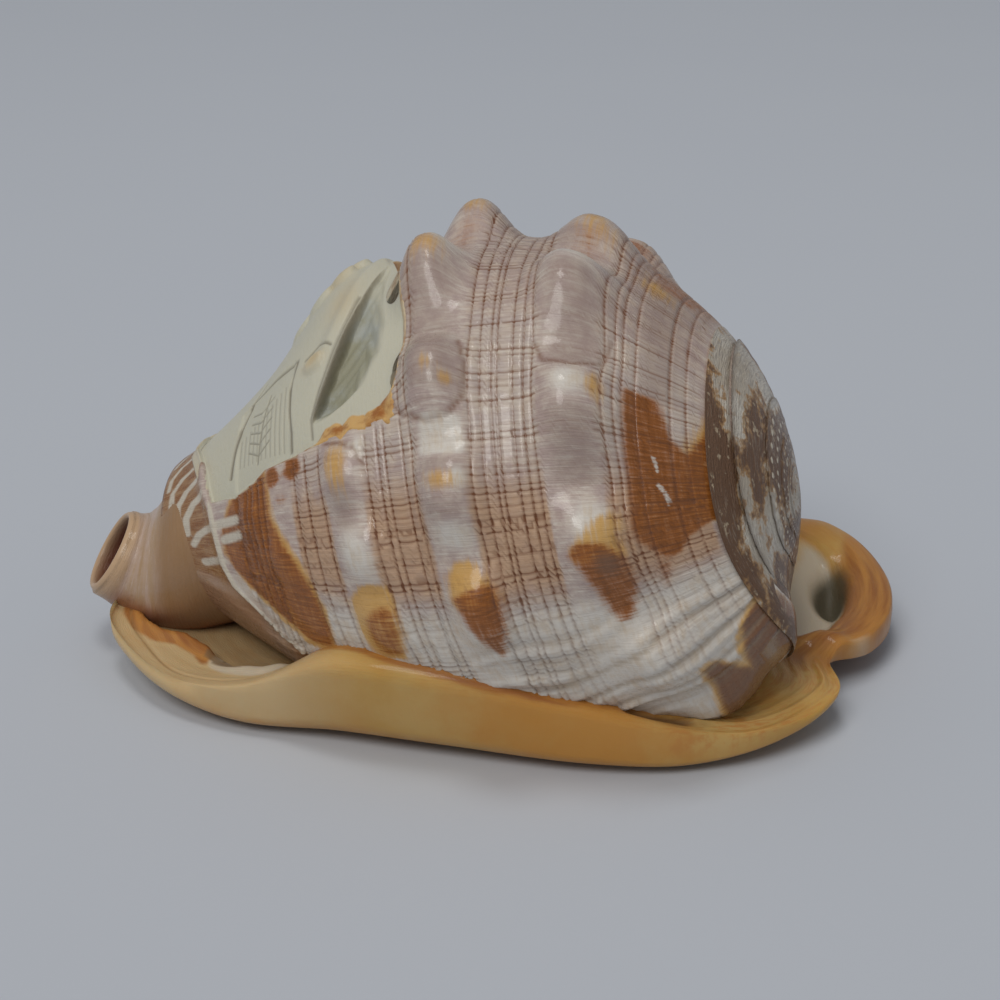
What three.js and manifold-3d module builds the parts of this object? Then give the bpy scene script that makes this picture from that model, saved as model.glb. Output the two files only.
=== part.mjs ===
// A carved helmet shell, lying on its aperture: one thick coiled shell with rows of blunt knobs,
// a low spire, an upturned siphonal canal, a broad callus sole with an aperture slot, and a cameo
// panel ground into its crown. Millimetres. +X runs from the canal to the spire, +Z is up, and the
// near side, -Y, is the side of the parietal shield. The outer lip is on the far side.
import * as THREE from "three";
import { mergeVertices } from "three/addons/utils/BufferGeometryUtils.js";
import Module from "manifold-3d";

// Coil axis, from the tip of the spire to the neck of the canal
const APEX = new THREE.Vector3(63, 0, 46);
const NECK = new THREE.Vector3(-65, -6, 25);
const WHORL_GROWTH = 1.9; // how much the sculpture moves away from the apex in one turn
const GIRTH_GROWTH = 1.32; // how much the girth grows in one turn
const GROWTH_ENDS = 134; // distance along the axis at which the spiral slant has faded
const UNDERSIDE_FROM = 135; // degrees from the crown to where the coil turns in under the sole
const BELLY_FLOOR = 6; // the coil is pressed flat at this height, inside the sole
const BELLY_SOFTNESS = 2.5;

// Outline of the coil over its crown: distance from the apex along the axis, and radius
const CROWN = [
  [0, 0], [1, 6], [3.2, 15], [6.3, 23], [10, 29], [18.5, 39], [29.5, 48], [42, 53], [56, 54],
  [72, 52], [86, 47.5], [98, 41.5], [108, 34], [118, 26.5], [127, 20], [134, 15],
];

// Rows of knobs, from the shoulder to the canal: half width along the axis, half lengths in degrees
// towards the lip and away from it, and each knob's distance from the apex, angle and height
const KNOB_ROWS = [
  {
    wide: 7.5, ahead: 9, behind: 12,
    knobs: [
      [30, -139, 3.5], [31, -109, 4.5], [34.5, -77, 4.5], [35.5, -45, 5.5], [37, -14, 7.5],
      [36.5, 18, 7], [33, 46, 9], [36, 78, 7],
    ],
  },
  {
    wide: 6.5, ahead: 8, behind: 10.5,
    knobs: [
      [61.5, -89, 4.5], [63, -64, 5], [65, -39, 6], [67.5, -9, 9], [62, 21, 8.5], [64, 49, 8],
      [64, 77, 6],
    ],
  },
  {
    wide: 4.5, ahead: 6, behind: 8,
    knobs: [[84, -94, 2], [84.6, -76, 2.6], [86.2, -58, 2.8], [86, 62, 3], [86, 82, 2.5]],
  },
  { wide: 3.5, ahead: 5, behind: 7, knobs: [[103, -79, 1.2], [109, -67.5, 1.2]] },
];
const KNOB_BLUNTNESS = 2.6; // power of a knob's outline: 2 is a bell, more is flatter on top
const RIDGE = { at: 62, high: 3, wide: 14, from: -30, full: 20 }; // swelling under the second row

// The shoulder swells towards the spire where the last turn comes out from under the shield
const SWELL = { forward: 9.5, out: 2, starts: 2, full: 14, fades: 26, ends: 58, angle: -139, long: 42 };

// The spire: its last suture, and the ledge that each turn makes
const SUTURE_RADIUS = 29;
const SPIRE_TURN = 1.6;
const SPIRE_LEDGE = 0.055;
const SPIRE_ENDS = 12.5;

// The carved panel on the crown: ground down to a smooth field, with a scooped hollow
const PANEL = { from: 71, to: 119, low: -57, high: 46, deep: 1.4, edge: 2, edgeTurn: 3 };
const PANEL_SLANT = 0.42; // the near edge climbs towards the spire by this many degrees a millimetre
const SCOOP = { at: 83, angle: -27, deep: 3.2, wide: 7.5, long: 21, slant: 0.42 };
const PANEL_RISE = { at: 88, angle: 13, high: 7.5, wide: 13, long: 28 };

// Edge of the callus sole, seen from above, from the canal along the near side, round the notch
// and back along the outer lip: x, y, height of the edge, and the rise of its top from there
const RIM = [
  [-79, -26.5, 12.5, -3], [-70, -37, 11, -2.5], [-57, -45, 9.5, -1], [-39, -48.5, 9.5, 3],
  [-20, -46, 12, 12], [3, -45, 12, 13], [32, -43, 9.5, 9], [50, -37, 6.5, 6],
  [65, -26, 7, 1], [74.5, -9, 9, -0.5], [70.5, 5, 8.5, 0], [77, 16, 7, 3],
  [79.5, 29, 7.5, 4], [76, 44, 8.5, 5], [66, 57, 11, 5], [50, 65, 12, 5],
  [28, 66, 10, 5], [2, 62, 8, 5], [-24, 54, 7.5, 5], [-48, 41, 8, 4],
  [-68, 21, 9, 2], [-80, -4, 11, -2],
];
const SOLE_MIDDLE = new THREE.Vector2(0, 4);
const SOLE_ROUNDNESS = 0.36; // power of the sole's section: 1 is an ellipse, less is squarer
const SOLE_LEAN = 0.045; // outward lean of the callus wall for each millimetre of its height
const UNDERSIDE_LIFT = 5; // rise of the underside towards both ends
const SOLE_CUT = 0.5; // thickness worn off the underside, which leaves the flat that it rests on

// Aperture: a slot between shield and outer lip, from the canal to the notch
const APERTURE = { from: -60, to: 50, y: 9, bow: 5, half: 5, top: 30 };
const TROUGH = { deep: 4.5, half: 13 };
const TEETH = { every: 6.5, long: 1.2 }; // they narrow the slot on both sides and fade upwards

// Siphonal canal: centre line and radius, root first, and its bore
const CANAL = [
  [-50, -5, 26, 17], [-60, -7, 24, 18.5], [-66, -9, 21.3, 18], [-72, -11, 18.3, 15.2],
  [-77, -12, 17, 12.6], [-80.3, -12.6, 17.9, 10.9], [-83.6, -14.4, 20.3, 9.8],
];
const BORE = [
  [-50, 7, 6, 6], [-62, 3, 9, 5.5], [-72, -7, 14, 5.5], [-79.5, -12.2, 17.6, 6.4], [-91, -18.6, 25.6, 7.6],
];

// Hollows under the neck and behind the lip's lobe: centre, half sizes and turn about Z
const UMBILICUS = { at: [-41, -30, 14.5], half: [19, 9.5, 7], turn: 0.42 };
const POCKET = { at: [66, 33, 17], half: [8, 13, 9], turn: 0.15 };

// Mesh density of each form
const COIL_MESH = [84, 44];
const ROW_CROWDING = 0.35; // how much denser the coil's mesh is half way along
const SOLE_MESH = [64, 12];
const HOLLOW_MESH = [18, 9];

const wasm = await Module();
wasm.setup();
const { cos, sin, PI, abs, exp, max, min, hypot } = Math;
const rad = THREE.MathUtils.degToRad;

const bell = (x, width) => exp(-(x * x) / (width * width));
const rise = (x, from, to) => THREE.MathUtils.smoothstep(x, from, to);

// Makes a closed solid from a sphere whose points are moved: place takes the share of a turn and
// the share of the way from pole to pole.
function moulded(around, along, place) {
  const ball = new THREE.SphereGeometry(1, around, along);
  const uv = ball.attributes.uv;
  const position = ball.attributes.position;
  for (let i = 0; i < position.count; i++) {
    const down = 1 - uv.getY(i);
    const pole = down < 1e-6 || down > 1 - 1e-6;
    const p = place(pole ? 0 : uv.getX(i) % 1, down);
    position.setXYZ(i, p.x, p.y, p.z);
  }
  return solid(ball);
}

function solid(geometry) {
  geometry.deleteAttribute("normal");
  geometry.deleteAttribute("uv");
  const merged = mergeVertices(geometry, 1e-4);
  const made = new wasm.Manifold(
    new wasm.Mesh({
      numProp: 3,
      vertProperties: merged.attributes.position.array,
      triVerts: new Uint32Array(merged.index.array),
    }),
  );
  if (made.volume() >= 0) return made;
  const turned = merged.index.array.slice();
  for (let i = 0; i < turned.length; i += 3) [turned[i], turned[i + 1]] = [turned[i + 1], turned[i]];
  return new wasm.Manifold(
    new wasm.Mesh({
      numProp: 3,
      vertProperties: merged.attributes.position.array,
      triVerts: new Uint32Array(turned),
    }),
  );
}

// Frame of the coil: along the axis away from the apex, to the far side, and up through the crown
const axis = NECK.clone().sub(APEX).normalize();
const far = new THREE.Vector3(0, 0, 1).cross(axis).normalize().negate();
const crown = far.clone().cross(axis).normalize();

const crownCurve = new THREE.SplineCurve(CROWN.map(([a, r]) => new THREE.Vector2(a, r)));
const crownPoints = crownCurve.getSpacedPoints(400);

// Radius of the crown's outline at a distance from the apex
function crownRadius(a) {
  if (a >= crownPoints.at(-1).x) return crownPoints.at(-1).y;
  const i = max(1, crownPoints.findIndex((p) => p.x >= a));
  const [p, q] = [crownPoints[i - 1], crownPoints[i]];
  return p.y + ((q.y - p.y) * (a - p.x)) / max(1e-6, q.x - p.x);
}

// Degrees of growth from the crown: they run back again under the sole, so that the coil closes
function growthAngle(angle) {
  if (abs(angle) <= UNDERSIDE_FROM) return angle;
  const under = (angle < 0 ? angle + 360 : angle) - UNDERSIDE_FROM;
  return UNDERSIDE_FROM * cos((PI * under) / (360 - 2 * UNDERSIDE_FROM));
}

const blunt = (x, width) => exp(-((abs(x) / width) ** KNOB_BLUNTNESS));

function knobs(at, angle) {
  let height = RIDGE.high * bell(at - RIDGE.at, RIDGE.wide) * rise(angle, RIDGE.from, RIDGE.full);
  for (const row of KNOB_ROWS) {
    for (const [knobAt, knobAngle, high] of row.knobs) {
      const turn = angle - knobAngle;
      height += high * blunt(at - knobAt, row.wide) * blunt(turn, turn > 0 ? row.ahead : row.behind);
    }
  }
  return height;
}

// Share of the panel's depth at a place on the coil: 1 inside its border, 0 outside
function panelShare(at, angle) {
  const low = PANEL.low + PANEL_SLANT * max(0, 92 - at);
  const inLength = rise(at, PANEL.from - PANEL.edge, PANEL.from + PANEL.edge) *
    (1 - rise(at, PANEL.to - PANEL.edge, PANEL.to + PANEL.edge));
  const inTurn = rise(angle, low - PANEL.edgeTurn, low + PANEL.edgeTurn) *
    (1 - rise(angle, PANEL.high - PANEL.edgeTurn, PANEL.high + PANEL.edgeTurn));
  return inLength * inTurn;
}

function scoop(at, angle) {
  const across = at - SCOOP.at - (SCOOP.angle - angle) * SCOOP.slant;
  const along = (angle - SCOOP.angle) / SCOOP.long;
  const open = max(0, 1 - along * along);
  return SCOOP.deep * open * bell(across, SCOOP.wide * max(0.2, open));
}

// Share of the shoulder's swelling
function swell(at, angle) {
  const off = THREE.MathUtils.euclideanModulo(angle - SWELL.angle + 180, 360) - 180;
  return bell(off, SWELL.long) * rise(at, SWELL.starts, SWELL.full) * (1 - rise(at, SWELL.fades, SWELL.ends));
}

// Height of the surface over the smooth coil
function relief(at, angle) {
  const panel = panelShare(at, angle);
  const rounded = PANEL_RISE.high * bell(at - PANEL_RISE.at, PANEL_RISE.wide) *
    bell(angle - PANEL_RISE.angle, PANEL_RISE.long);
  const radius = crownRadius(at);
  const turns = Math.log(max(radius, 1) / SUTURE_RADIUS) / Math.log(SPIRE_TURN) - angle / 360;
  const ledge = SPIRE_LEDGE * radius * THREE.MathUtils.euclideanModulo(turns, 1);
  const spire = ledge * (1 - rise(at, SPIRE_ENDS, SPIRE_ENDS + 3));
  return spire + SWELL.out * swell(at, angle) + knobs(at, angle) * (1 - panel) +
    panel * (rounded - PANEL.deep - scoop(at, angle));
}

// Presses what would reach below the sole flat
function pressed(p) {
  const over = (p.z - BELLY_FLOOR) / BELLY_SOFTNESS;
  p.z = BELLY_FLOOR + BELLY_SOFTNESS * (over > 20 ? over : Math.log1p(exp(over)));
  return p;
}

// A point of the coil's surface: at is the distance from the apex measured over the crown
function coilPoint(at, angle, height) {
  const grown = growthAngle(angle);
  const slant = THREE.MathUtils.clamp((GROWTH_ENDS - at) / 60, 0, 1);
  const slid = at * WHORL_GROWTH ** ((slant * grown) / 360);
  const along = slid - SWELL.forward * swell(at, angle);
  const radius = crownRadius(slid) * GIRTH_GROWTH ** (grown / 360) + height;
  return APEX.clone()
    .addScaledVector(axis, along)
    .addScaledVector(far, radius * sin(rad(angle)))
    .addScaledVector(crown, radius * cos(rad(angle)));
}

const crownSpan = crownPoints.length - 1;

function makeCoil() {
  return moulded(...COIL_MESH, (turn, down) => {
    // Points lie closer together where the knobs are
    const step = (down + (ROW_CROWDING * sin(2 * PI * down)) / (2 * PI)) * crownSpan;
    const before = crownPoints[Math.floor(step)];
    const after = crownPoints[min(crownSpan, Math.floor(step) + 1)];
    const at = before.x + (after.x - before.x) * (step - Math.floor(step));
    // Four fifths of the points lie over the visible back of the coil
    const share = turn * 2 - 1;
    const angle = abs(share) < 0.84 ? (share / 0.84) * UNDERSIDE_FROM
      : Math.sign(share) * (UNDERSIDE_FROM + ((abs(share) - 0.84) / 0.16) * (180 - UNDERSIDE_FROM));
    const tip = min(1, min(down, 1 - down) * 20);
    const p = coilPoint(at, angle, relief(at, angle) * tip);
    if (down > 1 - 1e-6) p.copy(NECK);
    if (down < 1e-6) p.copy(APEX);
    return pressed(p);
  });
}

const rimLine = new THREE.CatmullRomCurve3(RIM.map(([x, y, z]) => new THREE.Vector3(x, y, z)), true);
const rimCrest = new THREE.CatmullRomCurve3(RIM.map(([, , , c]) => new THREE.Vector3(c, 0, 0)), true);

const slotY = (x) => APERTURE.y - APERTURE.bow * ((x + 5) / 60) ** 2;

// Height of the underside: a trough along the aperture, rising to the edge at both ends
function underside(x, y) {
  const ends = UNDERSIDE_LIFT * rise(abs(x - 4), 42, 84);
  return TROUGH.deep * bell(y - slotY(x), TROUGH.half) + ends - SOLE_CUT;
}

function makeSole() {
  return moulded(...SOLE_MESH, (turn, down) => {
    const edge = rimLine.getPoint(turn);
    const crest = rimCrest.getPoint(turn).x;
    const out = abs(sin(down * PI)) ** SOLE_ROUNDNESS;
    const x = SOLE_MIDDLE.x + (edge.x - SOLE_MIDDLE.x) * out;
    const y = SOLE_MIDDLE.y + (edge.y - SOLE_MIDDLE.y) * out;
    const flat = abs(cos(down * PI)) ** SOLE_ROUNDNESS;
    const z = down < 0.5 ? edge.z + crest * flat : edge.z - (edge.z - underside(x, y)) * flat;
    const lean = SOLE_LEAN * max(0, crest - 5) * z * out;
    return new THREE.Vector3(x, y - lean, z);
  });
}

// A round bar along a line of points [x, y, z, radius]: its sections turn gradually towards its end
function makeBar(stations, around, along) {
  const line = new THREE.CatmullRomCurve3(stations.map(([x, y, z]) => new THREE.Vector3(x, y, z)));
  const girth = new THREE.CatmullRomCurve3(stations.map((s) => new THREE.Vector3(s[3], 0, 0)));
  return moulded(around, along, (turn, down) => {
    const t = THREE.MathUtils.clamp((down * along - 1) / (along - 2), 0, 1);
    const ahead = line.getTangent(0).lerp(line.getTangent(1), t ** 2).normalize();
    const side = new THREE.Vector3(0, 0, 1).cross(ahead).normalize();
    const up = ahead.clone().cross(side);
    const r = down < 1e-6 || down > 1 - 1e-6 ? 0 : girth.getPoint(t).x;
    return line.getPoint(t)
      .addScaledVector(side, r * cos(turn * 2 * PI))
      .addScaledVector(up, r * sin(turn * 2 * PI));
  });
}

function makeHollow({ at, half, turn }) {
  const ball = new THREE.SphereGeometry(1, ...HOLLOW_MESH);
  ball.scale(...half);
  ball.rotateZ(turn);
  ball.translate(...at);
  return solid(ball);
}

function makeSlot() {
  return moulded(80, 4, (turn, down) => {
    const a = turn * 2 * PI;
    const middle = (APERTURE.from + APERTURE.to) / 2;
    const reach = (APERTURE.to - APERTURE.from) / 2;
    const taper = down < 1e-6 || down > 1 - 1e-6 ? 0 : 1;
    const x = middle + reach * Math.sign(cos(a)) * abs(cos(a)) ** 0.6 * taper;
    const toothed = down < 0.6 ? abs(sin(a)) : 0;
    const tooth = TEETH.long * cos((x / TEETH.every) * 2 * PI) * toothed;
    const y = slotY(x) + (APERTURE.half * abs(sin(a)) ** 0.6 - tooth) * Math.sign(sin(a)) * taper;
    const z = -6 + (APERTURE.top + 6) * THREE.MathUtils.clamp((down * 4 - 1) / 2, 0, 1);
    return new THREE.Vector3(x, y, z);
  });
}

function makeFloorBlock() {
  const block = new THREE.BoxGeometry(400, 400, 60);
  block.translate(0, 0, -30);
  return solid(block);
}

const outside = [makeSole(), makeBar(CANAL, 20, 9)].reduce((a, b) => a.add(b), makeCoil());
const cuts = [makeSlot(), makeBar(BORE, 12, 8), makeHollow(UMBILICUS), makeHollow(POCKET), makeFloorBlock()];
const shellSolid = cuts.reduce((a, b) => a.subtract(b), outside);

const parts = shellSolid.decompose().sort((a, b) => b.volume() - a.volume());
const result = parts[0].getMesh();
const geometry = new THREE.BufferGeometry();
geometry.setAttribute("position", new THREE.BufferAttribute(result.vertProperties, 3));
geometry.setIndex(new THREE.BufferAttribute(result.triVerts, 1));

// The origin is the middle of the footprint, on the surface that the sole rests on
geometry.computeBoundingBox();
const middle = geometry.boundingBox.getCenter(new THREE.Vector3());
geometry.translate(-middle.x, -middle.y, 0);

const shell = new THREE.Mesh(
  geometry,
  new THREE.MeshStandardMaterial({ color: 0xc9a48c, roughness: 0.35, metalness: 0 }),
);
shell.name = "shell";

const group = new THREE.Group();
group.add(shell);

export default group;
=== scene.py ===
import math

import bmesh
import bpy
import numpy as np
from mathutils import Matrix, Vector, kdtree


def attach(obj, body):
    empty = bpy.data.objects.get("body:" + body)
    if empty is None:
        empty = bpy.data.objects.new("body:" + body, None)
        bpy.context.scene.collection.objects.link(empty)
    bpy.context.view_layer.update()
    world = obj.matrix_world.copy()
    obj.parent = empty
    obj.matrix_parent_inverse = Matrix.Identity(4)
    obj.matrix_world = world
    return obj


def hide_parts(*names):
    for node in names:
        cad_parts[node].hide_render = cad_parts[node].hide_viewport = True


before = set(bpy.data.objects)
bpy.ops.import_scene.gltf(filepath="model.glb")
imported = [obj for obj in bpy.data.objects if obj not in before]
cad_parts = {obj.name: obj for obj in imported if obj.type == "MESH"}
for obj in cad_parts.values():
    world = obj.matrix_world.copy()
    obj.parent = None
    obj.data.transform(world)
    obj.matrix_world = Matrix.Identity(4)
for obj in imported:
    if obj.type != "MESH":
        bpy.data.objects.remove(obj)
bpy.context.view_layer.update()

# The last whorl
# A thick wall of shell laid down in one turn round the coil's axis, from under the shield over the
# crown to the outer lip. Spiral grooves in bands cross its growth lines, and blunt knobs stand
# between the bands.
APEX = np.array([68.315, -4.474, 46.0])
NECK = np.array([-59.685, -10.474, 25.0])
WHORL_GROWTH = 1.9
GIRTH_GROWTH = 1.32
GROWTH_ENDS = 134.0
GROWTH_FADES_OVER = 60
UNDERSIDE_FROM = 135.0
BELLY_FLOOR = 6.0
BELLY_SOFTNESS = 2.5
CROWN = [
    [0, 0], [1, 6], [3.2, 15], [6.3, 23], [10, 29], [18.5, 39], [29.5, 48], [42, 53], [56, 54],
    [72, 52], [86, 47.5], [98, 41.5], [108, 34], [118, 26.5], [127, 20], [134, 15],
]
# Half width in millimetres, half lengths in degrees ahead and behind, then place, angle and height
KNOB_ROWS = [
    (7.5, 9.0, 12.0, [
        (30, -139, 3.5), (31, -109, 4.5), (34.5, -77, 4.5), (35.5, -45, 5.5), (37, -14, 7.5),
        (36.5, 18, 7), (33, 46, 9), (36, 78, 7),
    ]),
    (6.5, 8.0, 10.5, [
        (61.5, -89, 4.5), (63, -64, 5), (65, -39, 6), (67.5, -9, 9), (62, 21, 8.5), (64, 49, 8),
        (64, 77, 6),
    ]),
    (4.5, 6.0, 8.0, [(84, -94, 2), (84.6, -76, 2.6), (86.2, -58, 2.8), (86, 62, 3), (86, 82, 2.5)]),
    (3.5, 5.0, 7.0, [(103, -79, 1.2), (109, -67.5, 1.2)]),
]
KNOB_BLUNTNESS = 2.6
# Spiral grooves, as distances from the apex along the axis
GROOVES = [
    17.0, 19.7, 25.5, 27.7, 29.0, 30.8, 44.2, 46.0, 48.2, 51.4, 52.6, 54.9, 57.2, 70.2, 72.4, 76.4,
    77.9, 80.4, 90.7, 94.2, 96.9, 105.0, 106.3, 108.1, 109.4, 112.0,
]
BANDS = [(14.5, 32.0), (43.0, 58.4), (69.0, 81.6), (89.6, 98.0), (104.0, 113.2)]
CLOSE_GROOVES = 6
GROOVE_HALF_WIDTH = 0.42
GROOVE_DEPTH = 0.4
GROWTH_LINE_DEPTH = 0.34
GROWTH_LINE_SLANT = 4.0 / 66.0  # degrees that a growth line climbs for each millimetre to the apex
GROWTH_LINE_WAVE = 0.24  # degrees that it steps back between two close grooves
CROWN_MM_PER_DEGREE = 0.85
FIELD_MM_PER_DEGREE = 0.8
NECK_MM_PER_DEGREE = 0.42
FOLDING_HEIGHT = 1.5
FOLD_HEIGHT = 0.7
WAIST_DEPTH = 0.9
# Border of the carved field: its near edge, and its edges towards the spire and the canal
FIELD_NEAR = [
    (70, -47), (74, -47), (79, -48), (84, -49), (89, -50), (92, -50.5), (96, -52), (104, -53.5),
    (107, -56), (113, -59), (120, -58),
]
FIELD_SPIRE = [
    (-47, 74), (-41, 74), (-38, 72.5), (-30, 71.5), (-22, 71.5), (-14, 72.5), (-5, 74), (3, 76),
    (10, 78), (20, 77.5), (32, 75), (46, 76),
]
FIELD_CANAL = [(-58, 120), (-50, 121), (-40, 122), (-28, 124), (-10, 127), (15, 127), (46, 122)]
FIELD_FAR = 46.0
FIELD_DEPTH = 1.4
LIP_MARK_WIDTH = 0.5
LIP_MARK_DEPTH = 0.35
# Old lip marks: thin dark lines, as places from the apex and angles
LIP_MARKS = [
    [(59, -32), (57.6, -38), (58, -45), (61, -49), (66, -50), (72, -47.5), (74, -44)],
    [(89, -51), (86, -51.6), (83, -53), (81, -57)],
    [(29.6, -28), (31, -36), (36, -38.5), (42, -37), (44, -32)],
    [(44, 4), (48, 2), (53, 4)],
]
# How much deeper than the field's surface the whorl lies: at the field's edge, and more further in
FIELD_FALL = 2.2
FIELD_SINK = 4.5
# The swelling beside the spire, near the sole: its angle, length in degrees and slide to the apex
SWELLING_ANGLE = -139
SWELLING_LONG = 42
SWELLING_SLIDE = 9.5
SWELLING_HEIGHT = 2
# A broad hump under the far knobs: height, place and half width
FAR_HUMP = (3, 62, 14)

AXIS = (NECK - APEX) / np.linalg.norm(NECK - APEX)
FAR_SIDE = np.cross(AXIS, [0.0, 0.0, 1.0])
FAR_SIDE /= np.linalg.norm(FAR_SIDE)
UPWARD = np.cross(FAR_SIDE, AXIS)


def rise(value, start, end):
    """Goes smoothly from 0 at start to 1 at end."""
    t = np.clip((np.asarray(value, float) - start) / (end - start), 0.0, 1.0)
    return t * t * (3 - 2 * t)


def bell(value, width):
    return np.exp(-((value / width) ** 2))


def blunt(value, width):
    return np.exp(-((np.abs(value) / width) ** KNOB_BLUNTNESS))


def flowing(points, share, closed=False):
    """Smooth curve through the points, read at shares of the way from the first to the last."""
    points = np.asarray(points, float)
    count = len(points)
    step = np.asarray(share, float) * (count if closed else count - 1)
    first = np.floor(step).astype(int)
    if closed:
        near = [points[(first + k) % count] for k in (-1, 0, 1, 2)]
    else:
        first = np.clip(first, 0, count - 2)
        ends = np.vstack([2 * points[0] - points[1], points, 2 * points[-1] - points[-2]])
        near = [ends[first + k] for k in range(4)]
    w = (step - first)[..., None]
    gaps = [np.maximum(np.linalg.norm(b - a, axis=-1, keepdims=True) ** 0.5, 1e-3)
            for a, b in zip(near, near[1:])]
    a, b, c, d = near
    leaving = ((b - a) / gaps[0] - (c - a) / (gaps[0] + gaps[1]) + (c - b) / gaps[1]) * gaps[1]
    arriving = ((c - b) / gaps[1] - (d - b) / (gaps[1] + gaps[2]) + (d - c) / gaps[2]) * gaps[1]
    return ((2 * w**3 - 3 * w**2 + 1) * b + (w**3 - 2 * w**2 + w) * leaving
            + (3 * w**2 - 2 * w**3) * c + (w**3 - w**2) * arriving)


crown_line = flowing(CROWN, np.linspace(0, 1, 3000))


def crown_radius(at):
    return np.interp(at, crown_line[:, 0], crown_line[:, 1])


def growth_angle(angle):
    """Degrees of growth from the crown, running back again under the sole."""
    under = np.where(angle < 0, angle + 360, angle) - UNDERSIDE_FROM
    turned = UNDERSIDE_FROM * np.cos(math.pi * under / (360 - 2 * UNDERSIDE_FROM))
    return np.where(np.abs(angle) <= UNDERSIDE_FROM, angle, turned)


def swelling(at, angle):
    """Share of the swelling beside the spire: 1 at its middle."""
    off = (angle - SWELLING_ANGLE + 180) % 360 - 180
    return bell(off, SWELLING_LONG) * rise(at, 2, 14) * (1 - rise(at, 26, 58))


def knob_height(at, angle):
    high, middle, half_width = FAR_HUMP
    height = high * bell(at - middle, half_width) * rise(angle, -30, 20)
    for wide, ahead, behind, knobs in KNOB_ROWS:
        for knob_at, knob_angle, high in knobs:
            turn = angle - knob_angle
            long = np.where(turn > 0, blunt(turn, ahead), blunt(turn, behind))
            height = height + high * blunt(at - knob_at, wide) * long
    return height


def coil_point(at, angle, height):
    """A point of the coil, at a distance from the apex over the crown and an angle from it."""
    grown = growth_angle(angle)
    slant = np.clip((GROWTH_ENDS - at) / GROWTH_FADES_OVER, 0, 1)
    slid = at * WHORL_GROWTH ** (slant * grown / 360)
    along = slid - SWELLING_SLIDE * swelling(at, angle)
    radius = crown_radius(slid) * GIRTH_GROWTH ** (grown / 360) + height
    turned = np.radians(angle)
    return (APEX + along[:, None] * AXIS + (radius * np.sin(turned))[:, None] * FAR_SIDE
            + (radius * np.cos(turned))[:, None] * UPWARD)


def pressed(points):
    """Presses what would reach below the sole flat."""
    over = (points[:, 2] - BELLY_FLOOR) / BELLY_SOFTNESS
    soft = np.where(over > 20, over, np.log1p(np.exp(np.minimum(over, 20))))
    points[:, 2] = BELLY_FLOOR + BELLY_SOFTNESS * soft
    return points


def field_inset(at, angle):
    """Millimetres inside the carved field's border; less than 0 is outside it."""
    near = np.interp(at, *zip(*FIELD_NEAR))
    scallop = 1.1 * np.abs(np.sin(at * 0.62 + 0.4)) ** 0.7 - 0.9 + 0.2 * np.sin(at * 1.9)
    near = near + scallop * rise(at, 73, 76) * (1 - rise(at, 88, 92)) / FIELD_MM_PER_DEGREE
    spire_side = np.interp(angle, *zip(*FIELD_SPIRE))
    canal_side = np.interp(angle, *zip(*FIELD_CANAL))
    return np.minimum.reduce([
        at - spire_side, canal_side - at,
        (angle - near) * FIELD_MM_PER_DEGREE, (FIELD_FAR - angle) * FIELD_MM_PER_DEGREE,
    ])


def field_rounding(at, angle):
    """How far the field's middle stands out, rounded by grinding."""
    return 7.5 * bell(at - 88, 13) * bell(angle - 13, 28)


def line_distance(at, angle, line, per_degree=CROWN_MM_PER_DEGREE):
    """Millimetres from a line of places and angles drawn on the coil."""
    nearest = np.full(np.shape(at), 1e9)
    for (a0, t0), (a1, t1) in zip(line, line[1:]):
        run = np.array([a1 - a0, (t1 - t0) * per_degree])
        x, y = at - a0, (angle - t0) * per_degree
        share = np.clip((x * run[0] + y * run[1]) / (run @ run), 0, 1)
        nearest = np.minimum(nearest, np.hypot(x - share * run[0], y - share * run[1]))
    return nearest


def in_bands(at):
    """Share of the bands that the grooves lie in."""
    share = np.zeros(np.shape(at))
    for start, end in BANDS:
        inside = rise(at, start - 0.5, start + 0.5) * (1 - rise(at, end - 0.5, end + 0.5))
        share = np.maximum(share, inside)
    return share


def stain(at, angle, edges, soft=1.0):
    """Share of a stain whose edges are given as (angle, place where it starts, place where it ends)."""
    turns, starts, ends = zip(*sorted(edges))
    inside = np.minimum(at - np.interp(angle, turns, starts), np.interp(angle, turns, ends) - at)
    within = np.clip(0.5 + 0.5 * inside / soft, 0, 1)
    begun = rise(angle, turns[0] - 1.5, turns[0] + 1)
    return within * begun * (1 - rise(angle, turns[-1] - 1, turns[-1] + 1.5))


def spot(at, angle, centre_at, centre_angle, wide, long):
    """Share of a soft round spot."""
    return bell(at - centre_at, wide) * bell(angle - centre_angle, long)


# Columns of the whorl's mesh follow its growth lines, with a plain column between each two, and rows
# follow its spiral grooves. Angles are in degrees.
FIRST_COLUMN, FINE_COLUMNS_END, COLUMNS_END = -134.0, 66, 130
FINE_GAPS, COARSE_GAPS = (1.15, 1.75), (2.4, 3.4)
LINE_STRENGTHS = [0.5, 0.65, 0.8, 1.0]
BELLY_COLUMNS = np.linspace(133, 224, 16)
BELLY_FROM = 128
random_lines = np.random.default_rng(11)
columns, line_share = [], []
angle = FIRST_COLUMN
while angle < COLUMNS_END:
    gap = random_lines.uniform(*(FINE_GAPS if angle < FINE_COLUMNS_END else COARSE_GAPS))
    columns += [angle, angle + gap / 2]
    line_share += [float(random_lines.choice(LINE_STRENGTHS)), 0.0]
    angle += gap
columns = np.concatenate([columns, BELLY_COLUMNS])
line_share = np.concatenate([line_share, np.zeros(len(BELLY_COLUMNS))])

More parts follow.
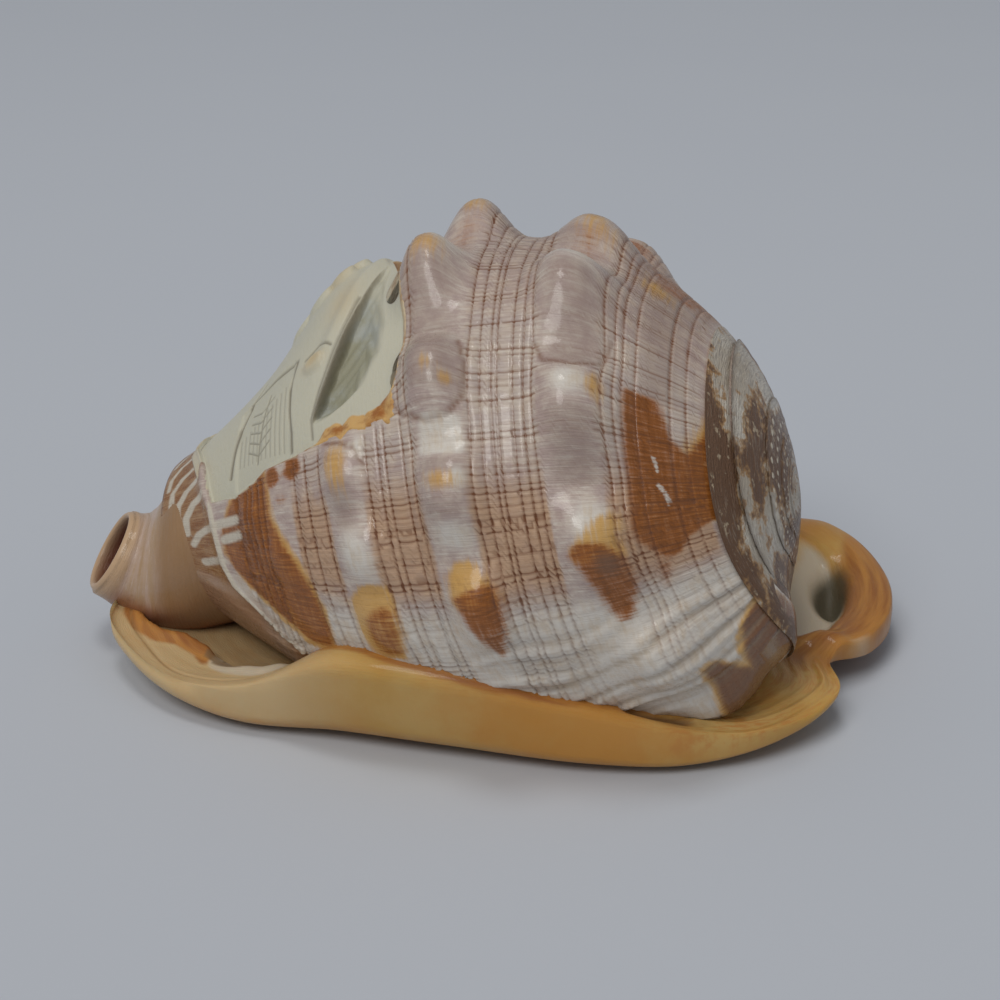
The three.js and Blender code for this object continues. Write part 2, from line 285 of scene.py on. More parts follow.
WHORL_STARTS = 9.2
WHORL_ENDS = 134.0
WHORL_CAP_DEPTH = 20
EVEN_ROWS = 204
NECK_ROWS = np.arange(113.3, 129, 1.2)
ROW_CLEARANCE = 0.2
lengths = np.concatenate([[0], np.cumsum(np.hypot(*np.diff(crown_line, axis=0).T))])
from_start = np.interp(WHORL_STARTS, crown_line[:, 0], lengths)
fill = np.interp(np.linspace(from_start, lengths[-1], EVEN_ROWS), lengths, crown_line[:, 0])
fill = np.sort(np.concatenate([fill, NECK_ROWS]))
grooved = np.concatenate([[g - GROOVE_HALF_WIDTH, g, g + GROOVE_HALF_WIDTH] for g in GROOVES])
fill = fill[np.min(np.abs(fill[:, None] - grooved[None, :]), axis=1) > ROW_CLEARANCE]
rows = np.concatenate([[0.0], np.sort(np.concatenate([fill, grooved])), [WHORL_ENDS]])


def give_marks(mesh, marks):
    """Keeps a value for each of the mesh's points under each mark's name."""
    for mark, values in marks.items():
        mesh.attributes.new(mark, "FLOAT", "POINT").data.foreach_set("value", values.astype(np.float32))


def placed(name, data):
    """Puts a mesh, lamp or camera in the scene as an object."""
    made = bpy.data.objects.new(name, data)
    bpy.context.collection.objects.link(made)
    return made


def moulded(name, around, along, place):
    """Makes a closed piece from a sphere: place moves its points and gives the marks on them."""
    bm = bmesh.new()
    bmesh.ops.create_uvsphere(bm, u_segments=around, v_segments=along, radius=1)
    ball = np.array([v.co for v in bm.verts])
    column = np.round(np.arctan2(ball[:, 1], ball[:, 0]) / (2 * math.pi) * around).astype(int) % around
    row = np.round(np.arccos(np.clip(ball[:, 2], -1, 1)) / math.pi * along).astype(int)
    points, marks = place(column, row)
    for vertex, point in zip(bm.verts, points / 1000):
        vertex.co = point
    bmesh.ops.recalc_face_normals(bm, faces=bm.faces)
    mesh = bpy.data.meshes.new(name)
    bm.to_mesh(mesh)
    bm.free()
    give_marks(mesh, marks)
    mesh.shade_smooth()
    return placed(name, mesh)


def groove_share(at):
    nearest = np.min(np.abs(at[:, None] - np.array(GROOVES)[None, :]), axis=1)
    return np.clip(1 - nearest / GROOVE_HALF_WIDTH, 0, 1)


def between_grooves(at):
    """Rises to 1 halfway between two grooves that are close together, and is 0 on them."""
    next_one = np.clip(np.searchsorted(GROOVES, at), 1, len(GROOVES) - 1)
    before, after = np.array(GROOVES)[next_one - 1], np.array(GROOVES)[next_one]
    halfway = np.sin(math.pi * np.clip((at - before) / (after - before), 0, 1))
    return np.clip(halfway, 0, 1) * (after - before < CLOSE_GROOVES)


def folding(at, angle):
    """Share of the wavy folds low on the near side, and their wave from 0 to 1."""
    folds = rise(-angle, 86, 104) * (1 - rise(at, 48, 72))
    folds = folds + 0.25 * rise(-angle, 92, 108) * rise(at, 40, 60)
    climb = angle + 0.30 * at + 2.2 * np.sin(at * 0.19 + angle * 0.07)
    return folds, 0.5 + 0.29 * np.sin(climb * 0.93) + 0.21 * np.sin(climb * 1.61 + 1.3)


def whorl_relief(at, angle, groove, line):
    """Height of the whorl's relief, and the shares of its lip marks and of the troughs of its folds."""
    inset = field_inset(at, angle)
    in_field = rise(inset, 0.0, 1.2)
    marks = np.zeros(len(at))
    for mark in LIP_MARKS:
        marks = np.maximum(marks, bell(line_distance(at, angle, mark), LIP_MARK_WIDTH))
    folds, wave = folding(at, angle)
    strength = 0.55 + 0.45 * np.sin(at * 0.16 + 1.0) * np.sin(angle * 0.13)
    folded = FOLDING_HEIGHT * folds * strength * (wave - 0.5)
    height = SWELLING_HEIGHT * swelling(at, angle) + knob_height(at, angle) * (1 - in_field) + folded
    growth_lines = GROWTH_LINE_DEPTH * line * (0.25 + 0.75 * in_bands(at))
    height -= GROOVE_DEPTH * groove + growth_lines + LIP_MARK_DEPTH * marks
    past = past_fold(at, angle)
    waist = rise(past, 0, 2.5) * (1 - rise(past, 4, 12))
    height += FOLD_HEIGHT * bell(past, 0.8) * rise(at, 97, 100) - WAIST_DEPTH * waist
    deeper = FIELD_DEPTH + FIELD_FALL + FIELD_SINK * rise(inset, 3, 6)
    return height + in_field * (field_rounding(at, angle) - deeper), marks, folds * (1 - wave)


# The last fold of the whorl before the neck, as places and angles
FOLD = [
    (122.5, -46), (121.6, -52), (120.2, -61), (119.3, -75), (118.9, -86), (117.4, -94.5), (113.4, -100),
    (110, -105.5), (105.6, -111), (98.6, -114),
]
NECK_STRIPES = [  # white stripes on the neck: line and half width in millimetres
    ([(127.5, 20), (130.5, 16), (132.4, 6)], 0.55),
    ([(127.4, 0), (130.6, -3), (132.6, -13)], 0.6),
    ([(127.4, -16), (130.2, -19), (132.2, -28), (132.4, -38)], 0.6),
    ([(126.2, -30), (129.0, -33), (131.2, -42), (131.2, -58)], 0.65),
    ([(124.4, -41), (127.3, -45), (129.4, -54), (129.4, -68)], 0.8),
    ([(122.6, -52), (125.2, -55), (127.2, -63), (127.3, -72)], 0.9),
    ([(112.6, -67), (117, -67.8), (121.9, -70), (124.4, -73), (126, -78.5)], 0.75),
    ([(112.4, -72.4), (117.3, -74.6)], 0.75), ([(118.6, -83.4), (124.2, -88)], 0.8),
]
STRIPE_SOFTNESS = 0.8
# Stains: strength, softness in millimetres, and the angles with the places where they start and end
CHESTNUT_STAINS = [
    (1, 1.0, [
        (-54, 104, 113), (-60, 103.5, 114), (-68, 103.3, 117), (-74, 101.5, 118), (-80, 99, 117.5),
        (-86, 97.5, 116), (-92, 96.5, 112.5), (-98, 96.3, 107), (-104, 97.5, 102)]),
    (1, 1.2, [
        (-40, 21, 27.5), (-44, 20.5, 27.6), (-50, 19.5, 27.8), (-54, 17, 28), (-57, 12.5, 28),
        (-60, 10.8, 28), (-69, 10.8, 28.3), (-74, 11.8, 28.5), (-77, 15.5, 28.2), (-80, 19, 27),
        (-84, 21.5, 24.5)]),
    (1, 1.0, [(-40, 11, 12.5), (-44, 10.8, 13.4), (-50, 10.8, 15.5), (-56, 10.8, 18)]),
    (0.6, 1.4, [(-82, 22.5, 26.5), (-88, 23.5, 26.8), (-92, 25, 27)]),
    (1, 1.8, [
        (-76.5, 33.5, 39), (-79, 31, 41), (-83, 29.8, 39), (-88, 30, 37.8), (-93, 31.6, 37.4),
        (-97, 33.6, 36.4)]),
    (1, 1.8, [
        (-83.5, 56.5, 60), (-86, 55.4, 66.6), (-90, 55.4, 65), (-95, 56.4, 63), (-99, 58, 61.6),
        (-101, 59, 60.6)]),
    (0.86, 1.8, [(-89, 80.6, 84.5), (-92, 80.4, 87.4), (-97, 80.8, 88), (-102, 82, 87)]),
    (1, 0.8, [(-52, 95.5, 98.5), (-56, 95, 99.5), (-58, 97, 98.5)]),
    (1, 0.8, [(-53, 101, 103.5), (-57, 100, 104), (-59, 101.5, 103.5)]),
    (0.62, 1.4, [(-61, 99, 102), (-64, 99, 102)]),
    (1, 1.2, [
        (-110.5, 13, 15), (-114, 10.5, 18.4), (-120, 9.5, 20), (-126, 9.5, 21.6), (-132, 9.5, 22),
        (-140, 9.5, 25), (-152, 9.5, 27)]),
    (1, 1.2, [
        (-116.5, 26, 27.4), (-121, 24.6, 28.4), (-127, 23.6, 29), (-134, 20, 29.5), (-142, 14, 29),
        (-150, 10, 28)]),
    (0.66, 3.0, [(8, 16, 26), (22, 14, 29), (40, 14, 24)]),
]
FAR_KNOBS = [knob for row in KNOB_ROWS[:2] for knob in row[3] if knob[1] > 15]
# Behind each far knob: degrees from the knob, and the stain's reach before and past it
BEHIND_KNOB = [(-25, -1, 1), (-14, -4, 4.5), (-8, -3.5, 3.5)]
for knob_at, knob_angle, _ in FAR_KNOBS:
    CHESTNUT_STAINS.append((0.95 if knob_angle > 40 else 0.5, 3.2, [
        (knob_angle + turn, knob_at + before, knob_at + past) for turn, before, past in BEHIND_KNOB]))
AMBER_STAINS = [
    (1.05, 2.0, [(-79, 60, 65), (-82, 58, 67), (-86, 55.6, 67), (-88.5, 56, 66)]),
    (0.95, 1.8, [(-71, 31, 34), (-75, 30, 37), (-78, 29.6, 40.5), (-81, 29.6, 40)]),
    (1.2, 1.6, [(-84, 81, 86), (-88, 80.4, 89.5), (-96, 80.4, 90), (-103, 82, 88.5)]),
    (1, 1.0, [(-53, 103.5, 113), (-68, 102.6, 117), (-80, 98, 118), (-92, 95.5, 113.5), (-106, 97, 103)]),
    (0.85, 1.8, [
        (-36, 10.6, 12.5), (-42, 10.5, 14.5), (-52, 10.5, 18), (-60, 10.5, 19), (-70, 10.5, 19),
        (-76, 12, 17)]),
    (1, 1.0, [(-108, 12, 15), (-116, 9.5, 21), (-128, 9.5, 23.4), (-150, 9.5, 29)]),
    (1, 1.0, [(-114.5, 25.6, 27.6), (-122, 23.6, 29.6), (-136, 19, 30.6), (-150, 10, 30)]),
]
PALE_STAINS = [
    (1, 1.2, [(-49, 59, 67.5), (-57, 58, 68.5)]), (1, 1.5, [(-92, 9, 13), (-100, 9, 15), (-107, 9, 15)]),
]
DUSKY_STAINS = [
    (1, 2.6, [(-48, 31.5, 41), (-64, 32, 42)]), (1, 2.6, [(-29, 60, 70), (-44, 59, 70)]),
    (1, 2.5, [(-40, 18, 25), (12, 18, 25)]), (1, 2.0, [(-60, 83.5, 89), (-71, 84, 89)]),
    (0.9, 3.0, [(-14, 31, 42), (-38, 31, 42)]), (0.8, 2.0, [(-58, 59, 68), (-61, 59, 68)]),
    (0.7, 2.0, [(-66, 59, 69), (-70, 59, 69)]), (0.8, 3.0, [(-12, 61, 74), (-28, 60, 73)]),
]
FAR_TAN = (0.5, 6.0, [(20, 12, 60), (60, 10, 60), (130, 10, 60)])
# Spots: strength, place and angle of the middle, and half width and half length
AMBER_SPOTS = [
    (0.62, 64.5, -39.5, 2.4, 2.0), (0.6, 61, -42.5, 2.2, 1.8), (0.9, 86.3, -57, 2.9, 7),
    (0.8, 66.8, -9.5, 4.6, 4.2), (0.62, 35, 11, 6, 6), (0.9, 31.5, -43, 1.8, 4.5),
    (0.9, 31, -73.5, 2.0, 3.4), (0.8, 24, 4, 4, 7), (0.85, 63, -62.5, 4.5, 2.4),
    *[(0.8, knob_at, knob_angle - 3, 4, 5) for knob_at, knob_angle, _ in FAR_KNOBS],
]
PALE_SPOTS = [
    (1, 36.5, -43, 4.0, 3.6), (1, 35, -72.5, 4.6, 5), (1, 63, -73.5, 4.4, 3.4), (1, 64, -4, 4, 5),
    (0.8, 37, -8, 6, 6), (1, 85, -77, 3.6, 7), (1, 81.5, -53, 1.6, 3), (1, 59.6, -62, 1.6, 2.4),
]
DUSKY_SPOTS = [
    (1, 102, -86, 3, 6), (1, 62, -91, 2.6, 3.5), (1, 35, -86, 2.4, 5), (0.9, 40, 8, 6, 6),
    (0.8, 27, 8, 4, 9),
]
SMOKY_SPOT = (0.8, 33.5, -81.5, 3.2, 4)
# White flecks in the big stain by the spire: line, sharpness and half width in millimetres
FLECKS = [
    ([(21.2, -69), (21.6, -66.5), (22.6, -64)], 1.3, 0.6), ([(22.4, -60.5), (22.9, -56.5)], 1.2, 0.5),
]


def past_fold(at, angle):
    """Millimetres past the whorl's last fold, towards the canal."""
    places, turns = zip(*FOLD[::-1])
    return at - np.interp(angle, turns, places)


def strongest(at, angle, stains, spots=()):
    """The highest share that any of the stains and spots has at each place."""
    shares = [strength * stain(at, angle, edges, soft) for strength, soft, edges in stains]
    for strength, *middle_and_size in spots:
        shares.append(strength * spot(at, angle, *middle_and_size))
    return np.maximum.reduce(shares)


def coil_marks(at, angle):
    """Stains on the coil, and where the neck's underside gets painted shade: each is a share, whose edges
    the material makes crisp.
    """
    near_side, bands, past = -angle, in_bands(at), past_fold(at, angle)
    chestnut = strongest(at, angle, CHESTNUT_STAINS)
    pale = np.maximum.reduce([
        rise(near_side, 83, 98), strongest(at, angle, PALE_STAINS, PALE_SPOTS),
        0.4 * bands * (1 - rise(near_side, 52, 66)) * rise(near_side, 12, 30),
    ])
    flecks, stripes = np.zeros(len(at)), np.zeros(len(at))
    for line, sharpness, half_width in FLECKS:
        off = line_distance(at, angle, line)
        flecks = np.maximum(flecks, np.clip(sharpness - off / half_width, 0, 1))
    for line, half_width in NECK_STRIPES:
        off = line_distance(at, angle, line, NECK_MM_PER_DEGREE)
        stripes = np.maximum(stripes, np.clip(0.5 + 0.5 * (half_width - off) / STRIPE_SOFTNESS, 0, 1))
    fold = bell(past + 0.3, 0.75) * rise(at, 97, 100) * (1 - rise(at, 119.5, 121))
    tan = bands * np.maximum(0.9 * rise(near_side, 54, 72) * (1 - rise(near_side, 82, 94)), 0.22)
    tan = np.maximum(tan, strongest(at, angle, [FAR_TAN]))
    neck = rise(past, -0.2, 0.8)
    # The neck's underside, which gets painted shade in place of its own brown
    under = rise(near_side, 92, 104) * rise(at, 106, 116)
    sooty = rise(near_side, 100, 110) * (1 - rise(at, 30, 34))
    sooty = np.maximum(sooty, strongest(at, angle, [], [SMOKY_SPOT]))
    return {
        "chestnut": chestnut * (1 - neck), "amber": strongest(at, angle, AMBER_STAINS, AMBER_SPOTS),
        "pale": pale, "dusk": strongest(at, angle, DUSKY_STAINS, DUSKY_SPOTS) * (1 - neck),
        "tan": tan * (1 - neck), "neck": neck * (1 - 0.7 * under), "stripe": np.maximum(stripes, fold),
        "under": under, "fleck": flecks, "smoky": chestnut * sooty,
    }


def whorl_place(column, row):
    at = rows[row]
    turned = columns[column]
    climbed = turned + GROWTH_LINE_SLANT * (96 - np.clip(at, 15, 118))
    climbed = climbed - GROWTH_LINE_WAVE * between_grooves(at)
    angle = (np.where(turned > BELLY_FROM, turned, climbed) + 180) % 360 - 180
    faint = rise(-angle, 92, 118) * (1 - rise(at, 40, 62))
    groove = groove_share(at) * (1 - 0.6 * faint) * (1 - rise(past_fold(at, angle), -1, 1))
    groove = groove * (1 - rise(field_inset(at, angle), -1.4, -0.4))
    line = line_share[column] * (1 - 0.8 * faint)
    height, marks, trough = whorl_relief(at, angle, groove, line)
    last = len(rows) - 1
    ends = np.minimum(1, np.minimum(row, last - row) / 6)
    points = coil_point(at, angle, height * ends)
    points[row == 0] = APEX + WHORL_CAP_DEPTH * AXIS
    points[row == last] = NECK
    return pressed(points), {
        "from_apex": at, "round_crown": angle, "groove": groove, "line": line, "mark": marks,
        "trough": trough, "banded": in_bands(at), **coil_marks(at, angle),
    }


whorl = moulded("whorl", len(columns), len(rows) - 1, whorl_place)


def read(tree, mark):
    return add(tree, "Attribute", attribute_name=mark).outputs["Fac"]


def put(tree, value, socket):
    """Sets a socket to a value, or links it to another socket or to a mark on the mesh."""
    if isinstance(value, str):
        value = read(tree, value)
    if isinstance(value, bpy.types.NodeSocket):
        tree.links.new(value, socket)
    else:
        socket.default_value = (*value, 1.0) if socket.type == "RGBA" else value


def add(tree, kind, inputs=None, **settings):
    """Adds a shader node, with its settings, and with what goes in its sockets."""
    made = tree.nodes.new("ShaderNode" + kind)
    for name, value in settings.items():
        setattr(made, name, value)
    for name, value in (inputs or {}).items():
        put(tree, value, made.inputs[name])
    return made


def maths(tree, operation, a, b=0.0, clamp=False):
    return add(tree, "Math", {0: a, 1: b}, operation=operation, use_clamp=clamp).outputs[0]


def times(tree, a, b):
    return maths(tree, "MULTIPLY", a, b)


def plus(tree, a, b):
    return maths(tree, "ADD", a, b)


def blend(tree, share, under, over):
    return add(tree, "Mix", {0: share, 6: under, 7: over}, data_type="RGBA").outputs[2]


def lay(tree, under, over, share, strength=1.0):
    """Lays a colour over another, as strongly as its share says."""
    return blend(tree, times(tree, share, strength), under, over)


def crisp(tree, share, ragged, amount, width, middle=0.5):
    """Gives a soft share a ragged edge of a width."""
    off = times(tree, maths(tree, "SUBTRACT", ragged, 0.5), amount)
    return add(tree, "MapRange", {
        "Value": plus(tree, share, off), "From Min": middle - width, "From Max": middle + width,
    }, interpolation_type="SMOOTHSTEP").outputs[0]


COAT_ROUGHNESS = 0.12
SHELL_SPECULAR = 0.25


def shell_material(name, roughness, coat):
    material = bpy.data.materials.new(name)
    material.use_nodes = True
    tree = material.node_tree
    surface = tree.nodes["Principled BSDF"]
    surface.inputs["Roughness"].default_value = roughness
    surface.inputs["Coat Weight"].default_value = coat
    surface.inputs["Coat Roughness"].default_value = COAT_ROUGHNESS
    surface.inputs["Specular IOR Level"].default_value = SHELL_SPECULAR
    return material, tree, surface


# Of the grain's three noises: times the scale, detail and roughness
GRAIN_NOISES = {"Cloud": (1.0, 3.0, 0.5), "Ragged": (5.0, 4.0, 0.6), "Grain": (22.0, 4.0, 0.65)}


def make_grain():
    """Cloudy tone, ragged patches and fine grain that all of the shell's layers share."""
    group = bpy.data.node_groups.new("shell grain", "ShaderNodeTree")
    for name, kind in (("Vector", "NodeSocketVector"), ("Scale", "NodeSocketFloat")):
        group.interface.new_socket(name, in_out="INPUT", socket_type=kind)
    for name in GRAIN_NOISES:
        group.interface.new_socket(name, in_out="OUTPUT", socket_type="NodeSocketFloat")
    given = group.nodes.new("NodeGroupInput")
    results = group.nodes.new("NodeGroupOutput")
    for name, (finer, detail, rough) in GRAIN_NOISES.items():
        noise = add(group, "TexNoise", {
            "Vector": given.outputs["Vector"], "Scale": times(group, given.outputs["Scale"], finer),
            "Detail": detail, "Roughness": rough,
        })
        group.links.new(noise.outputs["Fac"], results.inputs[name])
    return group


shell_grain = make_grain()


def grain(tree, vector, scale=1.0):
    made = add(tree, "Group", node_tree=shell_grain)
    tree.links.new(vector, made.inputs["Vector"])
    made.inputs["Scale"].default_value = scale
    return made.outputs


def object_place(tree):
    return add(tree, "TexCoord").outputs["Object"]


def marked_place(tree, **scales):
    """Coordinates made from marks on the mesh, each times a scale."""
    parts = [times(tree, mark, scale) for mark, scale in scales.items()]
    return add(tree, "CombineXYZ", dict(enumerate(parts))).outputs[0]


def coil_place(tree, per_mm, per_degree):
    """Coordinates that follow the coil: stretched along the growth lines or along the spiral."""
    return marked_place(tree, from_apex=per_mm, round_crown=per_degree)


def bump(tree, surface, height, distance, strength=1.0):
    made = add(tree, "Bump", {"Height": height, "Distance": distance, "Strength": strength})
    tree.links.new(made.outputs[0], surface.inputs["Normal"])


MAUVE = (0.47, 0.36, 0.325)
WARM_GREY = (0.60, 0.495, 0.42)
WHITE_SHELL = (0.74, 0.69, 0.615)
CREAM = (0.60, 0.47, 0.33)
DUSKY_MAUVE = (0.30, 0.215, 0.18)
TAN = (0.56, 0.34, 0.19)
AMBER = (0.66, 0.36, 0.07)
CHESTNUT = (0.365, 0.117, 0.018)
DARK_CHESTNUT = (0.15, 0.052, 0.012)
SMOKY_BROWN = (0.185, 0.105, 0.065)
LINE_BROWN = (0.19, 0.07, 0.026)
NECK_BROWNS = (0.27, 0.11, 0.035), (0.42, 0.245, 0.12)
# Painted shade for the underside of the neck
UNDER_NECK_SHADES = (0.42, 0.26, 0.16), (0.28, 0.14, 0.075)
STRIPE_CREAM = (0.66, 0.595, 0.485)
# Painted shade for the troughs between the folds
TROUGH_SHADE = (0.40, 0.31, 0.21)


def whorl_material():
    material, tree, surface = shell_material("whorl", 0.3, 0.45)
    body = grain(tree, object_place(tree), 55)
    streaks = grain(tree, coil_place(tree, 0.035, 0.33))["Ragged"]
    spiral_streaks = grain(tree, coil_place(tree, 0.22, 0.022))["Ragged"]
    broad = grain(tree, coil_place(tree, 0.055, 0.05))
    patches = broad["Ragged"]
    # Cloudy ground with its lighter and darker patches
    colour = blend(tree, crisp(tree, patches, streaks, 0.5, 0.2), MAUVE, WARM_GREY)
    colour = lay(tree, colour, WHITE_SHELL, crisp(tree, streaks, patches, 0.7, 0.16, 0.62), 0.6)
    colour = lay(tree, colour, TAN, crisp(tree, "tan", patches, 1.0, 0.5), 0.8)
    pale = crisp(tree, "pale", streaks, 0.5, 0.4)
    colour = lay(tree, colour, WHITE_SHELL, pale, 0.92)
    creamy = times(tree, pale, crisp(tree, patches, spiral_streaks, 0.8, 0.2, 0.58))
    colour = lay(tree, colour, CREAM, creamy, 0.6)
    colour = lay(tree, colour, DUSKY_MAUVE, crisp(tree, "dusk", streaks, 0.6, 0.5, 0.6), 0.5)
    # Amber and chestnut stains, streaked along the growth lines
    colour = lay(tree, colour, AMBER, crisp(tree, "amber", spiral_streaks, 1.2, 0.4, 0.6), 0.85)
    uneven = times(tree, maths(tree, "SUBTRACT", spiral_streaks, 0.5), times(tree, "chestnut", 0.9))
    stained = plus(tree, "chestnut", uneven)
    colour = lay(tree, colour, CHESTNUT, crisp(tree, stained, streaks, 1.1, 0.42, 0.62))
    colour = lay(tree, colour, DARK_CHESTNUT, crisp(tree, stained, streaks, 2.2, 0.4, 1.05), 0.72)
    colour = lay(tree, colour, SMOKY_BROWN, crisp(tree, "smoky", streaks, 0.6, 0.35), 0.75)
    colour = lay(tree, colour, WHITE_SHELL, crisp(tree, "fleck", streaks, 1.4, 0.3, 0.6), 0.85)
    # The brown neck with painted shade under it and its white stripes, and painted shade in the fold troughs
    neck = blend(tree, crisp(tree, streaks, patches, 0.8, 0.16), *NECK_BROWNS)
    colour = lay(tree, colour, neck, "neck")
    colour = lay(tree, colour, blend(tree, streaks, *UNDER_NECK_SHADES), "under")
    colour = lay(tree, colour, STRIPE_CREAM, crisp(tree, "stripe", body["Ragged"], 0.3, 0.2))
    colour = lay(tree, colour, TROUGH_SHADE, crisp(tree, "trough", streaks, 0.8, 0.35, 0.75), 0.6)
    # Brown lines in the grooves, on the growth lines and where they cross
    dash = add(tree, "MapRange", {
        "Value": body["Ragged"], "From Min": 0.3, "From Max": 0.62, "To Min": 0.3,
    }).outputs[0]
    line = maths(tree, "POWER", "line", 2.0)
    spiral = times(tree, "groove", plus(tree, times(tree, dash, 0.65), 0.08))
    across = times(tree, line, plus(tree, times(tree, "banded", 0.6), 0.2))
    crossing = times(tree, times(tree, "groove", line), 0.5)
    fine = grain(tree, coil_place(tree, 0.03, 0.7))["Ragged"]
    striae = crisp(tree, fine, broad["Cloud"], 0.3, 0.1, 0.58)
    lines = plus(tree, plus(tree, plus(tree, spiral, across), crossing), times(tree, striae, 0.12))
    lines = maths(tree, "MAXIMUM", lines, times(tree, "mark", 0.7), clamp=True)
    lines = times(tree, lines, maths(tree, "SUBTRACT", 1.0, times(tree, pale, 0.45)))
    colour = lay(tree, colour, LINE_BROWN, lines)
    put(tree, colour, surface.inputs["Base Color"])
    rough = add(tree, "MapRange", {"Value": body["Grain"], "To Min": 0.18, "To Max": 0.4}).outputs[0]
    put(tree, rough, surface.inputs["Roughness"])
    bump(tree, surface, plus(tree, times(tree, fine, 0.9), times(tree, body["Grain"], 0.1)), 0.0003, 0.55)
    return material


whorl.data.materials.append(whorl_material())
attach(whorl, "root")
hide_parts("shell")

# The spire
# The shell's older turns, low and weathered, with their sutures showing as a spiral of ledges. The
# last whorl has grown over their outer edge.
SUTURE_RADIUS = 29.0
SPIRE_TURN = 1.6
SPIRE_LEDGE = 0.055
SPIRE_ROWS = np.concatenate([np.linspace(0, 13.6, 111), [14.0, 15.0]])
SPIRE_COLUMNS = 240
SPIRE_CAP_DEPTH = 22
SPIRE_SINK = -4.0
SUTURE_WIDTH = 0.7
BEAD_STEP = 12.0
BEAD_SWELL = 0.022
BEAD_ROWS = [(0.36, 0.0), (0.72, 0.5)]  # where in the turn's width, and how far along the step
BEADS_END = (15, 22)
THREADS = 5
THREAD_DEPTH = 0.16


def spire_place(column, row):
    at = SPIRE_ROWS[row]
    angle = column / SPIRE_COLUMNS * 360 - 180
    radius = crown_radius(at)
    turns = np.log(np.maximum(radius, 1) / SUTURE_RADIUS) / math.log(SPIRE_TURN) - angle / 360
    within = turns - np.floor(turns)
    ledge = SPIRE_LEDGE * radius * within
    bead_turn = angle / BEAD_STEP + 0.37 * np.floor(turns)
    beads = np.maximum.reduce([
        bell(within - middle, 0.09) * bell((bead_turn + shift) % 1 - 0.5, 0.3)
        for middle, shift in BEAD_ROWS]) * (1 - rise(radius, *BEADS_END))
    threads = THREAD_DEPTH * (0.5 + 0.5 * np.cos(within * 2 * math.pi * THREADS)) * rise(radius, 4, 10)
    relief = ledge + BEAD_SWELL * radius * beads - threads + SWELLING_HEIGHT * swelling(at, angle)
    points = coil_point(at, angle, relief * rise(row, 0, 8))
    last = len(SPIRE_ROWS) - 1
    points[row == 0] = APEX
    points[row == last] = APEX + SPIRE_CAP_DEPTH * AXIS
    sunk = row == last - 1
    points[sunk] = coil_point(at, angle, np.full(len(at), SPIRE_SINK))[sunk]
    off_suture = np.minimum(within, 1 - within) * 0.38 * radius
    return pressed(points), {
        "from_apex": at, "round_crown": angle, "within": within, "bead": beads,
        "suture": bell(off_suture, SUTURE_WIDTH) * rise(radius, 3, 7),
    }


WEATHERED_PALES = (0.52, 0.45, 0.355), (0.74, 0.69, 0.60)
RING_GREY = (0.27, 0.215, 0.175)
SPIRE_RUST = (0.44, 0.22, 0.055)
SPIRE_DARK = (0.135, 0.068, 0.038)
RING_PALE = (0.52, 0.44, 0.35)
WORN_TAN = (0.62, 0.50, 0.34)
BEAD_CREAM = (0.76, 0.68, 0.54)
SUTURE_DARK = (0.10, 0.06, 0.04)


def spire_material():
    material, tree, surface = shell_material("weathered spire", 0.42, 0.25)
    body = grain(tree, object_place(tree), 90)
    cloud, ragged = body["Cloud"], body["Ragged"]
    rings = grain(tree, coil_place(tree, 0.9, 0.03))
    colour = blend(tree, crisp(tree, cloud, ragged, 0.6, 0.2), *WEATHERED_PALES)
    colour = lay(tree, colour, RING_GREY, crisp(tree, rings["Ragged"], ragged, 0.6, 0.08, 0.54), 0.5)
    # Rust and dark patches gather along the middle of each turn
    off_middle = maths(tree, "ABSOLUTE", maths(tree, "SUBTRACT", "within", 0.5))
    middle = maths(tree, "SUBTRACT", 0.5, off_middle)
    patchy = plus(tree, grain(tree, object_place(tree), 62)["Cloud"], times(tree, middle, 0.28))
    colour = lay(tree, colour, SPIRE_RUST, crisp(tree, patchy, ragged, 0.34, 0.03, 0.535), 0.85)
    colour = lay(tree, colour, SPIRE_DARK, crisp(tree, patchy, ragged, 0.34, 0.035, 0.572), 0.92)
    colour = lay(tree, colour, RING_PALE, crisp(tree, rings["Ragged"], cloud, 0.5, 0.08, 0.6), 0.32)
    colour = lay(tree, colour, WORN_TAN, crisp(tree, ragged, rings["Cloud"], 0.5, 0.05, 0.66), 0.7)
    colour = lay(tree, colour, BEAD_CREAM, crisp(tree, "bead", ragged, 0.5, 0.15, 0.6), 0.85)
    colour = lay(tree, colour, SUTURE_DARK, "suture", 0.6)
    put(tree, colour, surface.inputs["Base Color"])
    bump(tree, surface, plus(tree, rings["Ragged"], times(tree, body["Grain"], 0.5)), 0.0008, 0.8)
    return material


spire = moulded("spire", SPIRE_COLUMNS, len(SPIRE_ROWS) - 1, spire_place)
spire.data.materials.append(spire_material())
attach(spire, "root")
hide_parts("shell")

